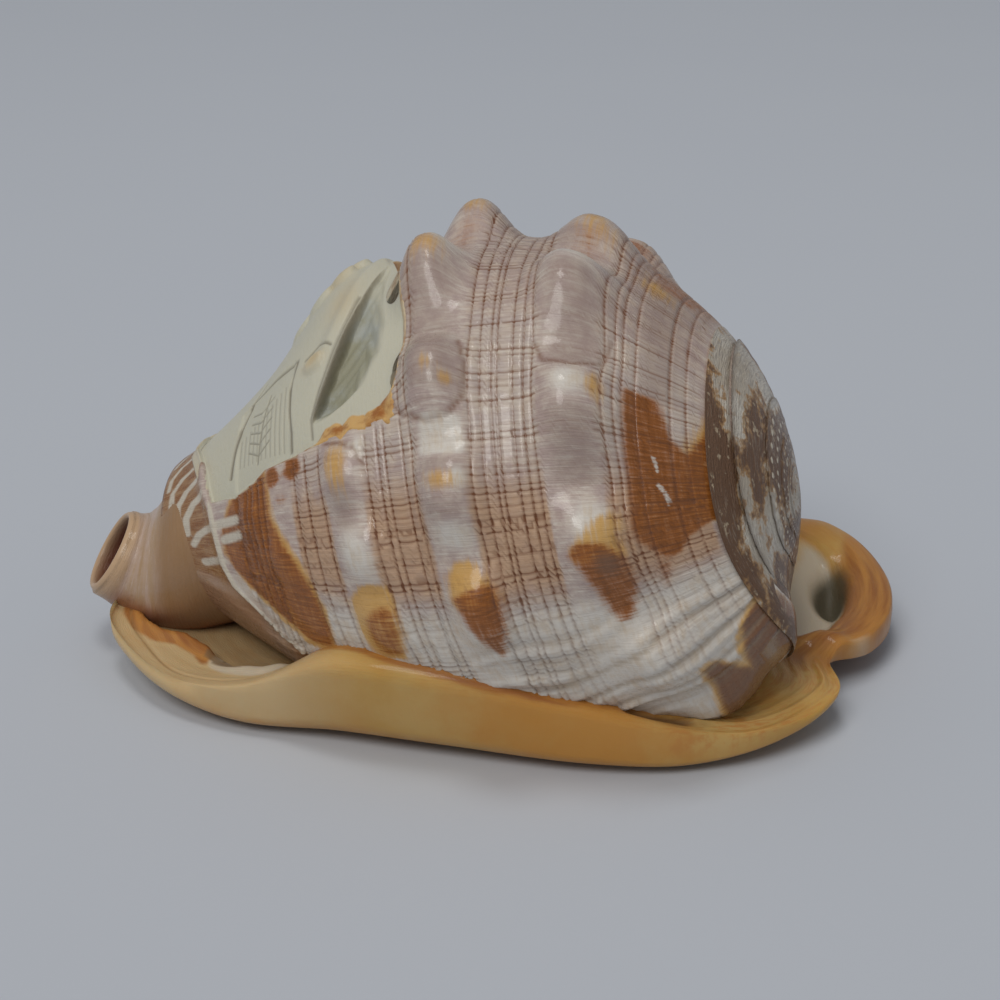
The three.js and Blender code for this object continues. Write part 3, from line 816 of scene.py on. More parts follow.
# The carved field
# The crown's coloured outer layers are ground away down to the ivory one beneath, which is polished
# and cut with plain ornament: a scooped leaf, a fluted band with a sprig, and a rosette.
FIELD_COLUMNS, FIELD_ROWS = 300, 250
FIELD_STARTS = -50
LEAF_DEPTH = 3.4
LEAF_FULL_WIDTH = 9
LEAF_CANAL_SIDE = [(-47.5, 92.3), (-44, 92.6), (-40, 92), (-30, 89), (-20, 86), (-10, 82.5), (8, 78)]
LEAF_SPIRE_SIDE = [
    (-47.5, 92), (-44, 90.5), (-41, 85), (-37, 80.5), (-28, 76.6), (-20, 76.2), (-10, 77.6), (8, 78),
]
STROKES = [  # line, half width and depth in millimetres
    ([(114.5, -50), (113.5, -38), (112.5, -28), (110.5, -18), (107, -12)], 0.42, 0.5),
    ([(97.6, -50), (97.6, -44), (98.4, -36), (98.6, -28), (97.2, -19)], 0.34, 0.45),
    ([(110.5, -17), (104, -17.5), (97.2, -19)], 0.3, 0.35),
    ([(92.5, -48), (92.8, -42), (91, -34), (88, -24), (84.6, -14), (83, -9)], 0.3, 0.3),
    ([(88.5, -22), (91.5, -19.5), (95, -21.5)], 0.3, 0.35),
    ([(106.8, -49), (106.2, -40), (105.6, -31), (104.4, -23)], 0.24, 0.3),
]
for k in range(5):  # the sprig's leaves, in pairs
    for tip_at in (109.6, 103.6):
        leaflet = [(106.6 - 0.05 * k, -46 + 4.4 * k), (tip_at - 0.1 * k, -42.5 + 4.2 * k)]
        STROKES.append((leaflet, 0.24, 0.3))
for k in range(11):  # the band's flutes
    flute = [(99.6 + 1.25 * k, -49 + 0.2 * k), (99.9 + 1.2 * k, -26 - 0.9 * k)]
    STROKES.append((flute, 0.2, 0.16))
STROKE_FULL_DEPTH = 0.4
BAND_DEPTH = 0.5
ROSETTE_AT, ROSETTE_ANGLE, ROSETTE_REACH, ROSETTE_PETALS = 95.0, 14.0, 11.5, 8
ROSETTE_HEIGHT = 1.6
ROSETTE_MM_PER_DEGREE = 0.88
BOSS_AT, BOSS_ANGLE, BOSS_HEIGHT = 92.6, -25, 0.9
# Warm spots: strength, place and angle of the middle, and half width and half length
WARM_SPOTS = [(1, 92.6, -24.5, 2.4, 2.4), (0.6, 87, -8, 3.5, 8), (0.8, 90, 9, 3, 6), (0.5, 104, 20, 4, 6)]


def field_place(across, up):
    """Place and angle of the field's points, from its near edge up and from the spire side across."""
    nominal = FIELD_STARTS + (FIELD_FAR - FIELD_STARTS) * up
    spire_side = np.interp(nominal, *zip(*FIELD_SPIRE))
    canal_side = np.interp(nominal, *zip(*FIELD_CANAL))
    at = spire_side - 1.0 + (canal_side - spire_side + 2.0) * across
    near = np.interp(at, *zip(*FIELD_NEAR)) - 1.6
    return at, near + (FIELD_FAR + 0.8 - near) * up


def leaf(at, angle):
    """Depth of the scooped leaf with its ribs, the swelling beside it, and the share of its edge."""
    low = np.interp(angle, *zip(*LEAF_SPIRE_SIDE))
    high = np.interp(angle, *zip(*LEAF_CANAL_SIDE))
    wide = np.maximum(high - low, 0.01)
    share = (at - low) / wide
    tips = 1 - rise(angle, 0, 8)
    within = rise(share, 0.0, 0.3) * (1 - rise(share, 0.93, 1.0)) * rise(angle, -47, -38) * tips
    scooped = (0.45 + 0.55 * rise(share, 0.1, 0.75)) * np.clip(wide / LEAF_FULL_WIDTH, 0, 1)
    deep = LEAF_DEPTH * within * scooped
    ribs = 0.21 * within * np.sin((angle + 2.2 * np.abs(at - (low + 0.45 * wide))) * 0.9)
    beside = 1.1 * bell(at - high - 3.0, 2.2) * rise(angle, -36, -18) * (1 - rise(angle, 8, 20))
    return deep, ribs, beside, bell(share - 0.99, 0.045) * rise(angle, -47, -42) * tips


def rosette(at, angle):
    """Height of the rosette: rounded petals round a button."""
    x, y = at - ROSETTE_AT, (angle - ROSETTE_ANGLE) * ROSETTE_MM_PER_DEGREE
    radius = np.hypot(x, y)
    petal = np.abs(np.cos(np.arctan2(y, x) * ROSETTE_PETALS / 2)) ** 0.6
    within = 1 - rise(radius / (ROSETTE_REACH * (0.72 + 0.28 * petal)), 0.82, 1.0)
    petals = ROSETTE_HEIGHT * within * (0.55 + 0.45 * petal) * (0.6 + 0.4 * rise(radius, 2, 6))
    return petals + 1.0 * (1 - rise(radius, 1.8, 3.0)) - 0.3 * bell(radius - 3.2, 0.5)


bm = bmesh.new()
bmesh.ops.create_grid(bm, x_segments=FIELD_COLUMNS, y_segments=FIELD_ROWS, size=1)
flat = np.array([v.co for v in bm.verts])
at, angle = field_place((flat[:, 0] + 1) / 2, (flat[:, 1] + 1) / 2)
inset = field_inset(at, angle)
broad = rise(at, 72, 75) * (1 - rise(at, 89, 92)) * (1 - rise(angle, -44, -40))
slope = 0.8 + 2.9 * broad
base = field_rounding(at, angle) * rise(inset, 0, slope) - FIELD_DEPTH * rise(inset, -0.1, slope)
base = base + knob_height(at, angle) * (1 - rise(inset, 0, 8)) - 0.5 * (1 - rise(inset, -0.6, 0.05))
leaf_deep, ribs, beside_leaf, leaf_edge = leaf(at, angle)
off_boss = np.hypot(at - BOSS_AT, (angle - BOSS_ANGLE) * ROSETTE_MM_PER_DEGREE)
boss = BOSS_HEIGHT * (1 - rise(off_boss, 1.6, 3.2))
cut, cut_depth = np.zeros(len(at)), np.zeros(len(at))
for line, half_width, deep in STROKES:
    share = bell(line_distance(at, angle, line), half_width)
    cut = np.maximum(cut, share * min(1, deep / STROKE_FULL_DEPTH))
    cut_depth = np.maximum(cut_depth, deep * share)
band = rise(at, 97.6, 98.4) * (1 - rise(at, 112.2, 113.4)) * (1 - rise(angle, -19, -17))
carving = -leaf_deep - ribs + boss + beside_leaf + rosette(at, angle) - cut_depth - BAND_DEPTH * band
points = coil_point(at, angle, base + carving * rise(inset, 1.0, 2.4))
# The coloured layers show as a rim where the field's edge cuts through them
wider = np.maximum(broad, rise(at, 71, 78) * (1 - rise(at, 78, 90)))
rim = (1 - rise(inset, 0.7 * slope - 0.2, slope + 0.35)) * (0.5 + 0.5 * wider)
rim = np.where(at > 112, rim * 0.75 * (1 - rise(inset, 0.2, 0.7)), rim)
for vertex, point in zip(bm.verts, points / 1000):
    vertex.co = point
outline = [e for e in bm.edges if e.is_boundary]
skirt = bmesh.ops.extrude_edge_only(bm, edges=outline)["geom"]
skirt = [g for g in skirt if isinstance(g, bmesh.types.BMVert)]
inside = coil_point(np.array([96.0]), np.array([-4.0]), np.array([-16.0]))[0] / 1000
bmesh.ops.pointmerge(bm, verts=skirt, merge_co=Vector(inside))
bmesh.ops.recalc_face_normals(bm, faces=bm.faces)
field_mesh = bpy.data.meshes.new("carved_field")
bm.to_mesh(field_mesh)
bm.free()
field_marks = {
    "from_apex": at, "round_crown": angle, "rim": rim, "hollow": leaf_deep / LEAF_DEPTH,
    "cut": np.maximum(cut, leaf_edge), "warm": strongest(at, angle, [], WARM_SPOTS),
}
skirt_points = np.zeros(len(field_mesh.vertices) - len(at))
give_marks(field_mesh, {mark: np.append(values, skirt_points) for mark, values in field_marks.items()})
field_mesh.shade_smooth()
field = placed("carved_field", field_mesh)


IVORIES = (0.61, 0.575, 0.445), (0.545, 0.53, 0.42)
IVORY_STREAK = (0.70, 0.68, 0.59)
WARM_IVORY = (0.62, 0.44, 0.20)
SCOOP_GREYS = (0.30, 0.29, 0.20), (0.38, 0.40, 0.37)
CUT_BROWN = (0.14, 0.11, 0.075)
RIM_BROWNS = (0.66, 0.40, 0.15), (0.36, 0.13, 0.025)


def glow(surface, weight, radius):
    """Lets light pass a little way through the layer."""
    surface.inputs["Subsurface Weight"].default_value = weight
    surface.inputs["Subsurface Radius"].default_value = radius
    surface.inputs["Subsurface Scale"].default_value = 0.002


def field_material():
    material, tree, surface = shell_material("ground ivory layer", 0.42, 0.12)
    body = grain(tree, object_place(tree), 45)
    cloud, ragged = body["Cloud"], body["Ragged"]
    streaks = grain(tree, coil_place(tree, 0.5, 0.05))["Ragged"]
    colour = blend(tree, cloud, *IVORIES)
    colour = lay(tree, colour, IVORY_STREAK, streaks, 0.18)
    colour = lay(tree, colour, WARM_IVORY, "warm", 0.65)
    # The leaf is laid darker grey the deeper it is scooped
    scoop_grey = blend(tree, crisp(tree, cloud, ragged, 0.6, 0.12), *SCOOP_GREYS)
    colour = lay(tree, colour, scoop_grey, crisp(tree, times(tree, "hollow", 1.3), ragged, 0.5, 0.4), 0.85)
    colour = lay(tree, colour, CUT_BROWN, "cut", 0.75)
    edge = blend(tree, crisp(tree, ragged, cloud, 0.9, 0.12, 0.54), *RIM_BROWNS)
    colour = lay(tree, colour, edge, crisp(tree, "rim", ragged, 0.5, 0.25))
    put(tree, colour, surface.inputs["Base Color"])
    glow(surface, 0.12, (1.0, 0.85, 0.6))
    bump(tree, surface, plus(tree, body["Grain"], streaks), 0.00025, 0.5)
    return material


field.data.materials.append(field_material())
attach(field, "root")
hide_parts("shell")

# The sole
# Callus spread over the aperture side in smooth thick layers: the parietal shield on the near side,
# with a wall that laps on to the whorl, the notch by the spire, and the outer lip on the far side.
RIM = [
    [-79, -26.5, 12.5, -3], [-70, -37, 11, -2.5], [-57, -45, 9.5, -1], [-39, -48.5, 9.5, 3],
    [-20, -46, 12, 12], [3, -45, 12, 13], [32, -43, 9.5, 9], [50, -37, 6.5, 6],
    [65, -26, 7, 1], [74.5, -9, 9, -0.5], [70.5, 5, 8.5, 0], [77, 16, 7, 3],
    [79.5, 29, 7.5, 4], [76, 44, 8.5, 5], [66, 57, 11, 5], [50, 65, 12, 5],
    [28, 66, 10, 5], [2, 62, 8, 5], [-24, 54, 7.5, 5], [-48, 41, 8, 4],
    [-68, 21, 9, 2], [-80, -4, 11, -2],
]
MADE_AT = np.array([5.315, -4.474])  # the sole's numbers are from another corner than the frame's
SOLE_MIDDLE = np.array([0.0, 4.0])
SOLE_ROUNDNESS = 0.36
SOLE_LEAN = 0.045
SOLE_COLUMNS = 300
SOLE_TOP_ROWS = np.concatenate([np.linspace(0, 0.93, 90), np.linspace(0.935, 1, 34)])
SOLE_ROWS = np.concatenate([SOLE_TOP_ROWS, 2 - SOLE_TOP_ROWS[-2::-1]])
UMBILICUS = ((-41, -30, 14.5), (19, 9.5, 7), 0.42)
POCKET_AT, POCKET_HALF, POCKET_TURN, POCKET_BEND = (70.5, 30.5), (5.2, 12.5), 0.12, 0.012
# Heights and depths of the sole's relief
RIDGE_HEIGHT = 1.3
RING_HEIGHT = 0.04
RIM_GROOVE_DEPTH = 0.3
INNER_DROP = 2.6
ROLL_HEIGHT = 1.6
TROUGH_DEPTH = 2.4
LOBE_FOLD_HEIGHT = 2.0
POCKET_DEPTH = 5.5
FLANGE_RIDGE_HEIGHT = 0.6
WRINKLE_HEIGHT = 0.22
BREAK_DEPTH = 1.2
SLOT_HOLLOW = 4.5
ARCH_HEIGHT = 5
LOBE_FOLD = [(60, 3), (66, 6), (71.5, 7.5), (76.5, 5.5), (80, 2)]
BROKEN_EDGE = [(44, -43.6), (48, -42.2), (52, -40.4), (55, -39.6), (55.6, -40.6), (58, -38.6), (60, -38)]
SHIELD_RIDGE = [
    (-76, -19), (-72, -24), (-66, -30.5), (-61, -33), (-55.7, -32.6), (-49, -36), (-46.5, -38.6),
    (-39.2, -42.7), (-32.1, -45.1), (-28.4, -44), (-26.5, -39), (-26, -32),
]
RIDGE_RUNS_ON = 9  # so many of the ridge's points run on in x
ROUND_RIM = 16.0


def slot_y(x):
    """The aperture slot's middle, which curves."""
    return 9 - 5 * ((x + 5) / 60) ** 2


def lowered(points, hollow):
    """Lowers points that lie in an egg-shaped hollow to its floor, and tells which they are."""
    centre, half, turn = hollow
    x, y = points[:, 0] - centre[0] - MADE_AT[0], points[:, 1] - centre[1] - MADE_AT[1]
    c, s = math.cos(turn), math.sin(turn)
    off = ((c * x + s * y) / half[0]) ** 2 + ((c * y - s * x) / half[1]) ** 2
    inside = off + ((points[:, 2] - centre[2]) / half[2]) ** 2 < 1
    hollow_floor = centre[2] - half[2] * np.sqrt(np.maximum(1 - off, 0))
    points[inside, 2] = hollow_floor[inside]
    return inside


def nearest_in(points):
    """A tree that finds the nearest of the points."""
    tree = kdtree.KDTree(len(points))
    for index, place in enumerate(points):
        tree.insert(place, index)
    tree.balance()
    return tree


whorl_points = nearest_in([v.co for v in whorl.data.vertices])


def sole_place(column, row):
    turn = column / SOLE_COLUMNS
    edge = flowing(RIM, turn, closed=True)
    level = SOLE_ROWS[row]
    upper = (level <= 1) * 1.0
    out = np.where(level <= 1, level, 2 - level)
    flat = (1 - np.minimum(out, 1) ** (2 / SOLE_ROUNDNESS)) ** (SOLE_ROUNDNESS / 2)
    x, y = (SOLE_MIDDLE[k] + (edge[:, k] - SOLE_MIDDLE[k]) * out for k in (0, 1))
    under = SLOT_HOLLOW * bell(y - slot_y(x), 13) + ARCH_HEIGHT * rise(np.abs(x - 4), 42, 84) - 0.5
    top = edge[:, 2] + edge[:, 3] * flat
    z = np.where(level <= 1, top, edge[:, 2] - (edge[:, 2] - under) * flat)
    inset = (1 - out) * np.hypot(edge[:, 0] - SOLE_MIDDLE[0], edge[:, 1] - SOLE_MIDDLE[1])
    y = y - SOLE_LEAN * np.maximum(0, edge[:, 3] - 5) * z * out
    points = np.stack([x + MADE_AT[0], y + MADE_AT[1], np.maximum(z, 0)], 1)
    x, y = points[:, 0], points[:, 1]
    wall = rise(edge[:, 3], 4, 9)
    # The shield: growth rings, and the ridge that the plate inside it lies lower than
    plate = 1 - wall
    ridge_off = line_distance(x, y, SHIELD_RIDGE, 1.0)
    left = 1 - rise(x, -30, -22)
    ridge = bell(ridge_off, 1.9) * upper * left
    beside_ridge = (1 - rise(ridge_off, 1.6, 4.2)) * upper * left
    rings = np.sin(inset * 1.9 + 1.5 * np.sin(turn * 40)) * rise(inset, 2.5, 5) * plate * upper
    groove = bell(inset - 4.4 - 0.8 * np.sin(turn * 50), 0.4) * upper * plate * left
    ridge_y = np.interp(x, *zip(*SHIELD_RIDGE[:RIDGE_RUNS_ON]))
    inner = rise(y - ridge_y, 0.8, 3.5) * upper * (1 - rise(x, -30, -25)) * (1 - rise(y, -8, 0))
    # The notch: a rolled lobe round a trough, with a fold and a deep pocket painted dark as shade
    lobed = upper * rise(x, 56, 66) * rise(y, 2, 11)
    rolled = bell(np.maximum(inset - 4.5, 0), 3.4) * lobed
    trough = rise(inset, 9, 13) * lobed * (1 - rise(y, 50, 62))
    c, s = math.cos(POCKET_TURN), math.sin(POCKET_TURN)
    px, py = x - POCKET_AT[0] - POCKET_BEND * (y - 30) ** 2, y - POCKET_AT[1]
    pocket_off = np.hypot((c * px + s * py) / POCKET_HALF[0], (c * py - s * px) / POCKET_HALF[1])
    pocket = (1 - rise(pocket_off, 0.0, 1.15)) * upper
    lobe_fold = bell(line_distance(x, y, LOBE_FOLD, 1.0), 3.2) * upper * (1 - rise(x, 79, 83))
    # The flange below the spire, and where it has broken
    flange = upper * rise(x, 40, 56) * (1 - rise(y, -4, 2))
    wrinkles = np.sin(inset * 2.3 + 2 * np.sin(turn * 60)) * flange * (1 - rise(inset, 8, 14))
    broken = bell(line_distance(x, y, BROKEN_EDGE, 1.0), 1.0) * upper * rise(inset, 1.5, 3)
    points[:, 2] += (
        RIDGE_HEIGHT * ridge + RING_HEIGHT * rings - RIM_GROOVE_DEPTH * groove - INNER_DROP * inner
        + ROLL_HEIGHT * rolled - TROUGH_DEPTH * trough + LOBE_FOLD_HEIGHT * lobe_fold
        - POCKET_DEPTH * pocket + FLANGE_RIDGE_HEIGHT * bell(inset - 3.4, 1.0) * flange
        + WRINKLE_HEIGHT * wrinkles - BREAK_DEPTH * broken)
    umbilical = lowered(points, UMBILICUS) * upper
    z = points[:, 2] = np.maximum(points[:, 2], 0)
    from_whorl = 1000 * np.array([whorl_points.find(p)[2] for p in points / 1000])
    contact = bell(np.maximum(from_whorl, 0), 1.5) * wall
    lobe = rise(x, 66, 74) * rise(y, 2, 10) * (1 - rise(y, 55, 66))
    far_lip = rise(y, 40, 50) * (1 - 0.5 * rise(x, 40, 70))
    from_slot = bell(y - MADE_AT[1] - slot_y(x - MADE_AT[0]), 9)
    return points, {
        "inset": inset, "groove": groove, "flange": flange, "broken": broken,
        "round_x": ROUND_RIM * np.cos(2 * math.pi * turn), "round_y": ROUND_RIM * np.sin(2 * math.pi * turn),
        "rust": np.maximum.reduce([
            beside_ridge * (1 - rise(x, -48, -44)) * rise(x, -76, -71),
            lobe * np.maximum(rolled, 0.78), lobe_fold, 0.95 * far_lip, contact,
            0.3 * (1 - rise(z, 1, 5)), 0.7 * rise(x, 52, 62) * rise(y, -12, 0) * (1 - rise(y, 8, 14)),
        ]),
        "cream": np.maximum.reduce([
            beside_ridge * rise(x, -48, -44), trough * (1 - lobe_fold),
            0.5 * (1 - rise(inset, 0.6, 2.2)) * lobe * (1 - rise(y, 8, 16)),
        ]),
        # painted shade: the umbilical hollow and the lower plate inside the ridge, and deep in the pocket
        "hollow": np.maximum(umbilical, 0.6 * inner), "pocket": rise(pocket, 0.12, 0.55),
        "plate": 1 - rise(x, -30, 0),
        "warmer": np.maximum(rise(x, -10, 35) * wall, 0.6 * (1 - rise(z, 2, 8))),
        "slot": from_slot * (1 - upper) * (1 - rise(np.abs(x), 40, 60)),
    }


SLOT_COLUMNS, SLOT_ROWS = 160, 6
SLOT_MIDDLE, SLOT_HALF_LENGTH, SLOT_HALF_WIDTH = -5, 55, 5
SLOT_FLOOR, SLOT_HEIGHT = -6, 36
TOOTH_STEP, TOOTH_DEPTH = 6.5, 1.2


def slot_place(column, row):
    a = column / SLOT_COLUMNS * 2 * math.pi
    taper = ((row > 0) & (row < SLOT_ROWS)) * 1.0
    x = SLOT_MIDDLE + SLOT_HALF_LENGTH * np.sign(np.cos(a)) * np.abs(np.cos(a)) ** 0.6 * taper
    tooth = TOOTH_DEPTH * np.cos(x / TOOTH_STEP * 2 * math.pi) * np.where(row < 4, np.abs(np.sin(a)), 0)
    y = slot_y(x) + (SLOT_HALF_WIDTH * np.abs(np.sin(a)) ** 0.6 - tooth) * np.sign(np.sin(a)) * taper
    z = SLOT_FLOOR + SLOT_HEIGHT * np.clip((row - 1) / (SLOT_ROWS - 2), 0, 1)
    return np.stack([x + MADE_AT[0], y + MADE_AT[1], z], 1), {}


def cut_slot(piece, cutter):
    """Cuts the aperture slot, and gives the points of the cut the marks of the nearest old ones."""
    before = piece.data
    marks = {}
    for attribute in before.attributes:
        if attribute.data_type == "FLOAT" and attribute.domain == "POINT":
            marks[attribute.name] = np.empty(len(before.vertices), np.float32)
            attribute.data.foreach_get("value", marks[attribute.name])
    tree = nearest_in([v.co for v in before.vertices])
    cut = piece.modifiers.new("aperture", "BOOLEAN")
    cut.operation = "DIFFERENCE"
    cut.solver = "EXACT"
    cut.object = cutter
    mesh = bpy.data.meshes.new_from_object(piece.evaluated_get(bpy.context.evaluated_depsgraph_get()))
    piece.modifiers.clear()
    piece.data = mesh
    bpy.data.meshes.remove(before)
    nearest = [tree.find(v.co)[1] for v in mesh.vertices]
    for name in marks:
        if name in mesh.attributes:
            mesh.attributes.remove(mesh.attributes[name])
    give_marks(mesh, {name: values[nearest] for name, values in marks.items()})


sole = moulded("sole", SOLE_COLUMNS, len(SOLE_ROWS) - 1, sole_place)
slot_cutter = moulded("slot_cutter", SLOT_COLUMNS, SLOT_ROWS, slot_place)
cut_slot(sole, slot_cutter)
cut_slot(whorl, slot_cutter)
bpy.data.objects.remove(slot_cutter)


CALLUS_GOLDS = (0.56, 0.315, 0.07), (0.61, 0.385, 0.125)
PLATE_TAN = (0.61, 0.465, 0.27)
CALLUS_ORANGE = (0.58, 0.25, 0.04)
FLANGE_STREAK = (0.56, 0.25, 0.06)
RUSTS = (0.31, 0.098, 0.016), (0.50, 0.21, 0.04)
CALLUS_CREAM = (0.60, 0.50, 0.36)
# Painted shade in the umbilical hollow and on the lower plate
HOLLOW_SHADE = (0.24, 0.15, 0.075)
# Painted shade deep in the pocket
POCKET_SHADE = (0.085, 0.072, 0.042)
SLOT_RED = (0.40, 0.13, 0.05)
GROOVE_BROWN = (0.30, 0.17, 0.07)
BROKEN_DARK = (0.10, 0.045, 0.018)
CALLUS_COAT = 0.25


def dull_where(tree, surface, coat, mark):
    """Takes the coat's gloss away where a mark is high."""
    put(tree, maths(tree, "SUBTRACT", coat, times(tree, mark, coat)), surface.inputs["Coat Weight"])


def sole_material():
    material, tree, surface = shell_material("callus", 0.38, CALLUS_COAT)
    body = grain(tree, object_place(tree), 28)
    cloud, ragged = body["Cloud"], body["Ragged"]
    rings = grain(tree, marked_place(tree, round_x=0.25, round_y=0.25, inset=0.9))
    lengthwise = grain(tree, marked_place(tree, round_x=0.15, round_y=0.15, inset=0.45))["Cloud"]
    broad = grain(tree, object_place(tree), 9)["Ragged"]
    colour = blend(tree, crisp(tree, broad, cloud, 0.8, 0.2), *CALLUS_GOLDS)
    colour = lay(tree, colour, PLATE_TAN, "plate", 0.75)
    warmth = plus(tree, times(tree, rings["Cloud"], 0.5), times(tree, "warmer", 0.5))
    colour = lay(tree, colour, CALLUS_ORANGE, crisp(tree, warmth, ragged, 0.5, 0.3), 0.8)
    streaky = times(tree, crisp(tree, rings["Ragged"], ragged, 0.5, 0.12, 0.55), "flange")
    colour = lay(tree, colour, FLANGE_STREAK, streaky, 0.85)
    rusty = blend(tree, crisp(tree, lengthwise, cloud, 0.4, 0.16), *RUSTS)
    colour = lay(tree, colour, rusty, crisp(tree, "rust", rings["Ragged"], 0.35, 0.3), 0.9)
    colour = lay(tree, colour, CALLUS_CREAM, crisp(tree, "cream", ragged, 0.4, 0.3))
    # The hollow and the pocket get painted shade; the slot, groove and broken edge have colours of their own
    for mark, strength, over in (
            ("hollow", 0.8, HOLLOW_SHADE), ("pocket", 0.92, POCKET_SHADE), ("slot", 0.7, SLOT_RED),
            ("groove", 0.5, GROOVE_BROWN), ("broken", 0.85, BROKEN_DARK)):
        colour = lay(tree, colour, over, mark, strength)
    put(tree, colour, surface.inputs["Base Color"])
    dull_where(tree, surface, CALLUS_COAT, "pocket")
    glow(surface, 0.1, (1.0, 0.45, 0.2))
    bump(tree, surface, plus(tree, rings["Ragged"], times(tree, body["Grain"], 0.4)), 0.0003, 0.5)
    return material


sole.data.materials.append(sole_material())
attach(sole, "root")
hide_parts("shell")

# The siphonal canal
# The tube at the neck that the siphon passed through, bent up and open at its end, with a thick
# uneven lip and a red-brown bore, painted darker still as shade.
CANAL = [  # x, y, z and radius of the outside
    [-50, -5, 26, 17], [-60, -7, 24, 18.5], [-66, -9, 21.3, 18], [-72, -11, 18.3, 15.2],
    [-77, -12, 17, 12.6], [-80.3, -12.6, 17.9, 10.9], [-83.6, -14.4, 20.3, 9.8],
]
BORE = [
    [-84.2, -14.7, 20.8, 7.9], [-80.5, -12.6, 18.2, 6.6], [-76, -10, 16, 5.8], [-70, -6, 13.5, 5.5],
    [-62, -2, 11, 5.0],
]
CANAL_COLUMNS = 150
CANAL_ROWS = 150
LIP_STARTS, LIP_ENDS = 0.6, 0.64  # shares of the way from the root over the lip to the bore's end
LIP_ROUNDING = 0.9


def canal_place(column, row):
    share = row / CANAL_ROWS
    outside = share <= LIP_STARTS
    along = np.where(outside, share / LIP_STARTS, np.clip((share - LIP_ENDS) / (1 - LIP_ENDS), 0, 1))
    line = np.where(outside[:, None], flowing(CANAL, along), flowing(BORE, along))
    outer = np.array(CANAL)[:, :3]
    first, last = outer[1] - outer[0], outer[-1] - outer[-2]
    first, last = first / np.linalg.norm(first), last / np.linalg.norm(last)
    bend = np.where(outside, along**2, (1 - along) ** 2)[:, None]
    ahead = first * (1 - bend) + last * bend
    ahead /= np.linalg.norm(ahead, axis=1, keepdims=True)
    side = np.cross([0.0, 0.0, 1.0], ahead)
    side /= np.linalg.norm(side, axis=1, keepdims=True)
    up = np.cross(ahead, side)
    turn = column / CANAL_COLUMNS * 2 * math.pi
    swirl = 0.07 * np.sin(along * 46 + 3.0 * np.sin(turn + 1.0)) * rise(along, 0.3, 0.6) * outside
    wavy = (0.5 * np.sin(turn * 3 + 0.5) + 0.3 * np.sin(turn * 5 + 2)) * rise(along, 0.8, 1.0) * outside
    radius = line[:, 3] + (swirl + 0.5 * wavy)
    centre = line[:, :3].copy()
    lip = (share > LIP_STARTS) & (share < LIP_ENDS)
    over = np.clip((share - LIP_STARTS) / (LIP_ENDS - LIP_STARTS), 0, 1)[lip, None]
    rim = np.array(CANAL[-1]) * (1 - over) + np.array(BORE[0]) * over
    centre[lip] = rim[:, :3] + ahead[lip] * np.sin(over * math.pi) * LIP_ROUNDING
    radius[lip] = rim[:, 3]
    radius[(row == 0) | (row == CANAL_ROWS)] = 0
    points = centre + (radius * np.cos(turn))[:, None] * side + (radius * np.sin(turn))[:, None] * up
    points[:, :2] += MADE_AT
    return points, {
        "along": along, "level": np.cos(turn), "upright": np.sin(turn),
        "bore": (share > 0.625) * rise(share, 0.62, 0.68),
        "lip": rise(share, 0.52, 0.6) * (1 - rise(share, 0.63, 0.67)),
        "low": 1 - rise(points[:, 2] + 0.25 * (points[:, 0] + 70), 9, 19),
    }


CANAL_TANS = (0.45, 0.285, 0.15), (0.50, 0.37, 0.265)
BAND_MAUVE = (0.53, 0.39, 0.31)
ARC_PALE = (0.66, 0.56, 0.47)
ROOT_BROWN = (0.31, 0.175, 0.08)
# Painted shade on the canal's lower side
LOW_SHADE_RED = (0.30, 0.125, 0.06)
LIP_TAN = (0.56, 0.375, 0.225)
# The bore's own red-brown, painted darker still as shade
BORE_REDS_AND_SHADE = (0.06, 0.014, 0.005), (0.13, 0.033, 0.015)
CANAL_COAT = 0.25


def canal_material():
    material, tree, surface = shell_material("canal", 0.36, CANAL_COAT)
    body = grain(tree, object_place(tree), 50)
    cloud, ragged = body["Cloud"], body["Ragged"]
    bands = grain(tree, marked_place(tree, along=14.0, level=0.65, upright=0.65))
    colour = blend(tree, cloud, *CANAL_TANS)
    colour = lay(tree, colour, BAND_MAUVE, crisp(tree, bands["Cloud"], ragged, 0.5, 0.2))
    colour = lay(tree, colour, ARC_PALE, crisp(tree, bands["Ragged"], cloud, 0.3, 0.06, 0.6), 0.6)
    root = add(tree, "MapRange", {"Value": "along", "From Min": 0.62, "From Max": 0.4}).outputs[0]
    colour = lay(tree, colour, ROOT_BROWN, crisp(tree, root, bands["Ragged"], 0.4, 0.4), 0.88)
    # The lower side is laid darker red as painted shade
    colour = lay(tree, colour, LOW_SHADE_RED, crisp(tree, "low", bands["Ragged"], 0.5, 0.4), 0.85)
    colour = lay(tree, colour, LIP_TAN, "lip")
    # The bore: its red-brown with painted shade
    colour = lay(tree, colour, blend(tree, cloud, *BORE_REDS_AND_SHADE), "bore")
    put(tree, colour, surface.inputs["Base Color"])
    dull_where(tree, surface, CANAL_COAT, "bore")
    bump(tree, surface, plus(tree, bands["Ragged"], times(tree, body["Grain"], 0.4)), 0.0003, 0.6)
    return material


canal = moulded("canal", CANAL_COLUMNS, CANAL_ROWS, canal_place)
canal.data.materials.append(canal_material())
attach(canal, "root")
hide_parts("shell")

# The studio
# A plain pale grey-blue paper floor under a large overhead softbox, seen from a little above.
TARGET = Vector((0.0073, -0.0105, 0.040))
DISTANCE = 0.430
AZIMUTH, ELEVATION = math.radians(18), math.radians(22)
PAPER_GREYS = (0.545, 0.575, 0.63), (0.56, 0.59, 0.64)
FLOOR_HALF = 4
ROOM_COLOUR = (0.92, 0.95, 1.0, 1.0)
ROOM_BRIGHTNESS = 0.28
SOFTBOX_AIM = Vector((0, 0, 0.04))

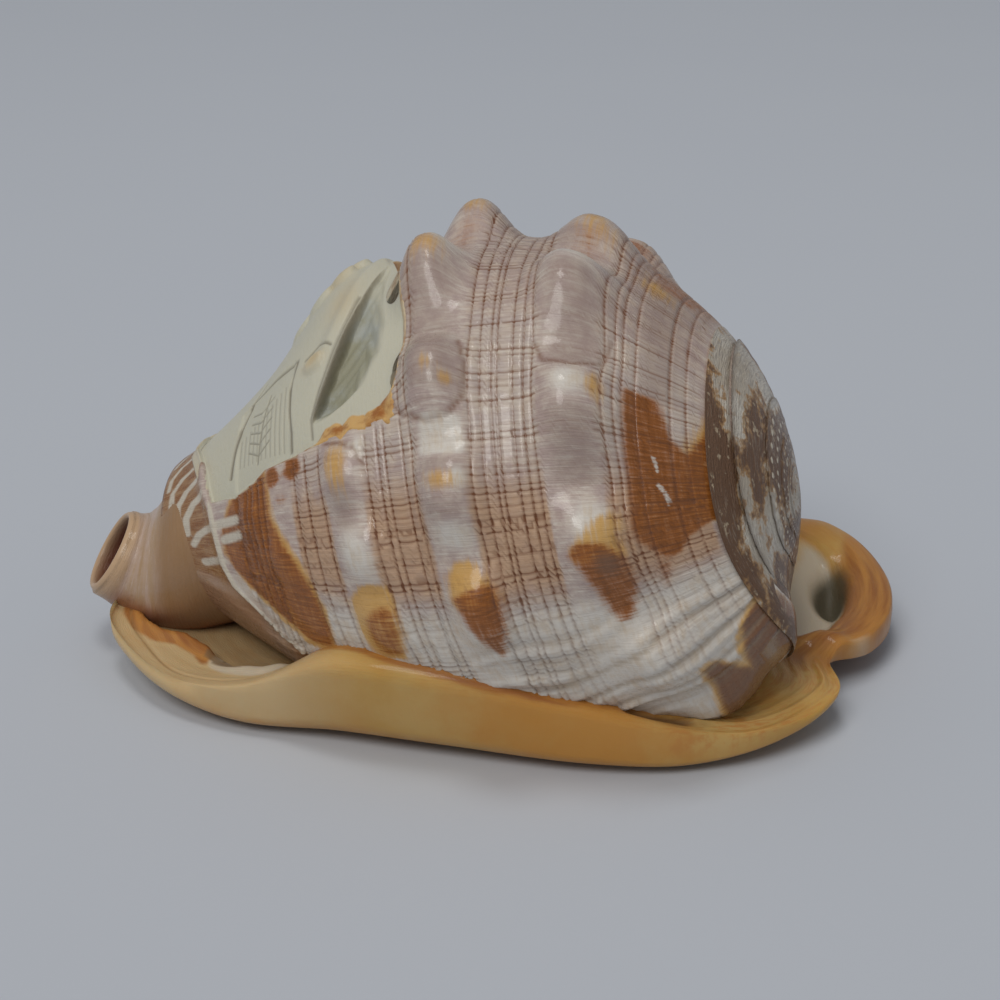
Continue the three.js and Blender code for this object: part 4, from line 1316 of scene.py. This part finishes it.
bm = bmesh.new()
bmesh.ops.create_grid(bm, x_segments=2, y_segments=2, size=FLOOR_HALF)
floor_mesh = bpy.data.meshes.new("floor")
bm.to_mesh(floor_mesh)
bm.free()
floor = placed("floor", floor_mesh)
paper, paper_tree, paper_surface = shell_material("paper", 0.85, 0.0)
mottled = add(paper_tree, "TexNoise", {"Vector": object_place(paper_tree), "Scale": 6.0, "Detail": 2.0})
put(paper_tree, blend(paper_tree, mottled.outputs["Fac"], *PAPER_GREYS), paper_surface.inputs["Base Color"])
floor.data.materials.append(paper)

world = bpy.data.worlds.new("room")
world.use_nodes = True
sky = world.node_tree.nodes["Background"].inputs
sky["Color"].default_value = ROOM_COLOUR
sky["Strength"].default_value = ROOM_BRIGHTNESS
bpy.context.scene.world = world


def lit(name, lamp, power, colour, towards):
    """Puts a lamp in the scene, turned towards a direction."""
    lamp.energy = power
    lamp.color = colour
    made = placed(name, lamp)
    made.rotation_mode = "QUATERNION"
    made.rotation_quaternion = towards.to_track_quat("-Z", "Y")
    return made


overhead = bpy.data.lights.new("overhead", "AREA")
overhead.shape = "RECTANGLE"
overhead.size, overhead.size_y = 0.42, 0.3
softbox_place = Vector((-0.10, -0.12, 1.3))
softbox = lit("overhead", overhead, 2.8, (1.0, 0.98, 0.95), SOFTBOX_AIM - softbox_place)
softbox.location = softbox_place
daylight = bpy.data.lights.new("daylight", "SUN")
daylight.angle = 0.5
lit("daylight", daylight, 1.08, (1.0, 0.985, 0.955), Vector((0.12, 0.62, -0.75)))

back = Vector((
    math.sin(AZIMUTH) * math.cos(ELEVATION),
    -math.cos(AZIMUTH) * math.cos(ELEVATION),
    math.sin(ELEVATION),
))
lens = bpy.data.cameras.new("camera")
lens.lens = 75
lens.sensor_width = 36
lens.clip_start = 0.01
camera = placed("camera", lens)
camera.location = TARGET + back * DISTANCE
camera.rotation_mode = "QUATERNION"
camera.rotation_quaternion = (-back).to_track_quat("-Z", "Y")
bpy.context.scene.camera = camera
bpy.context.scene.view_settings.view_transform = "Standard"
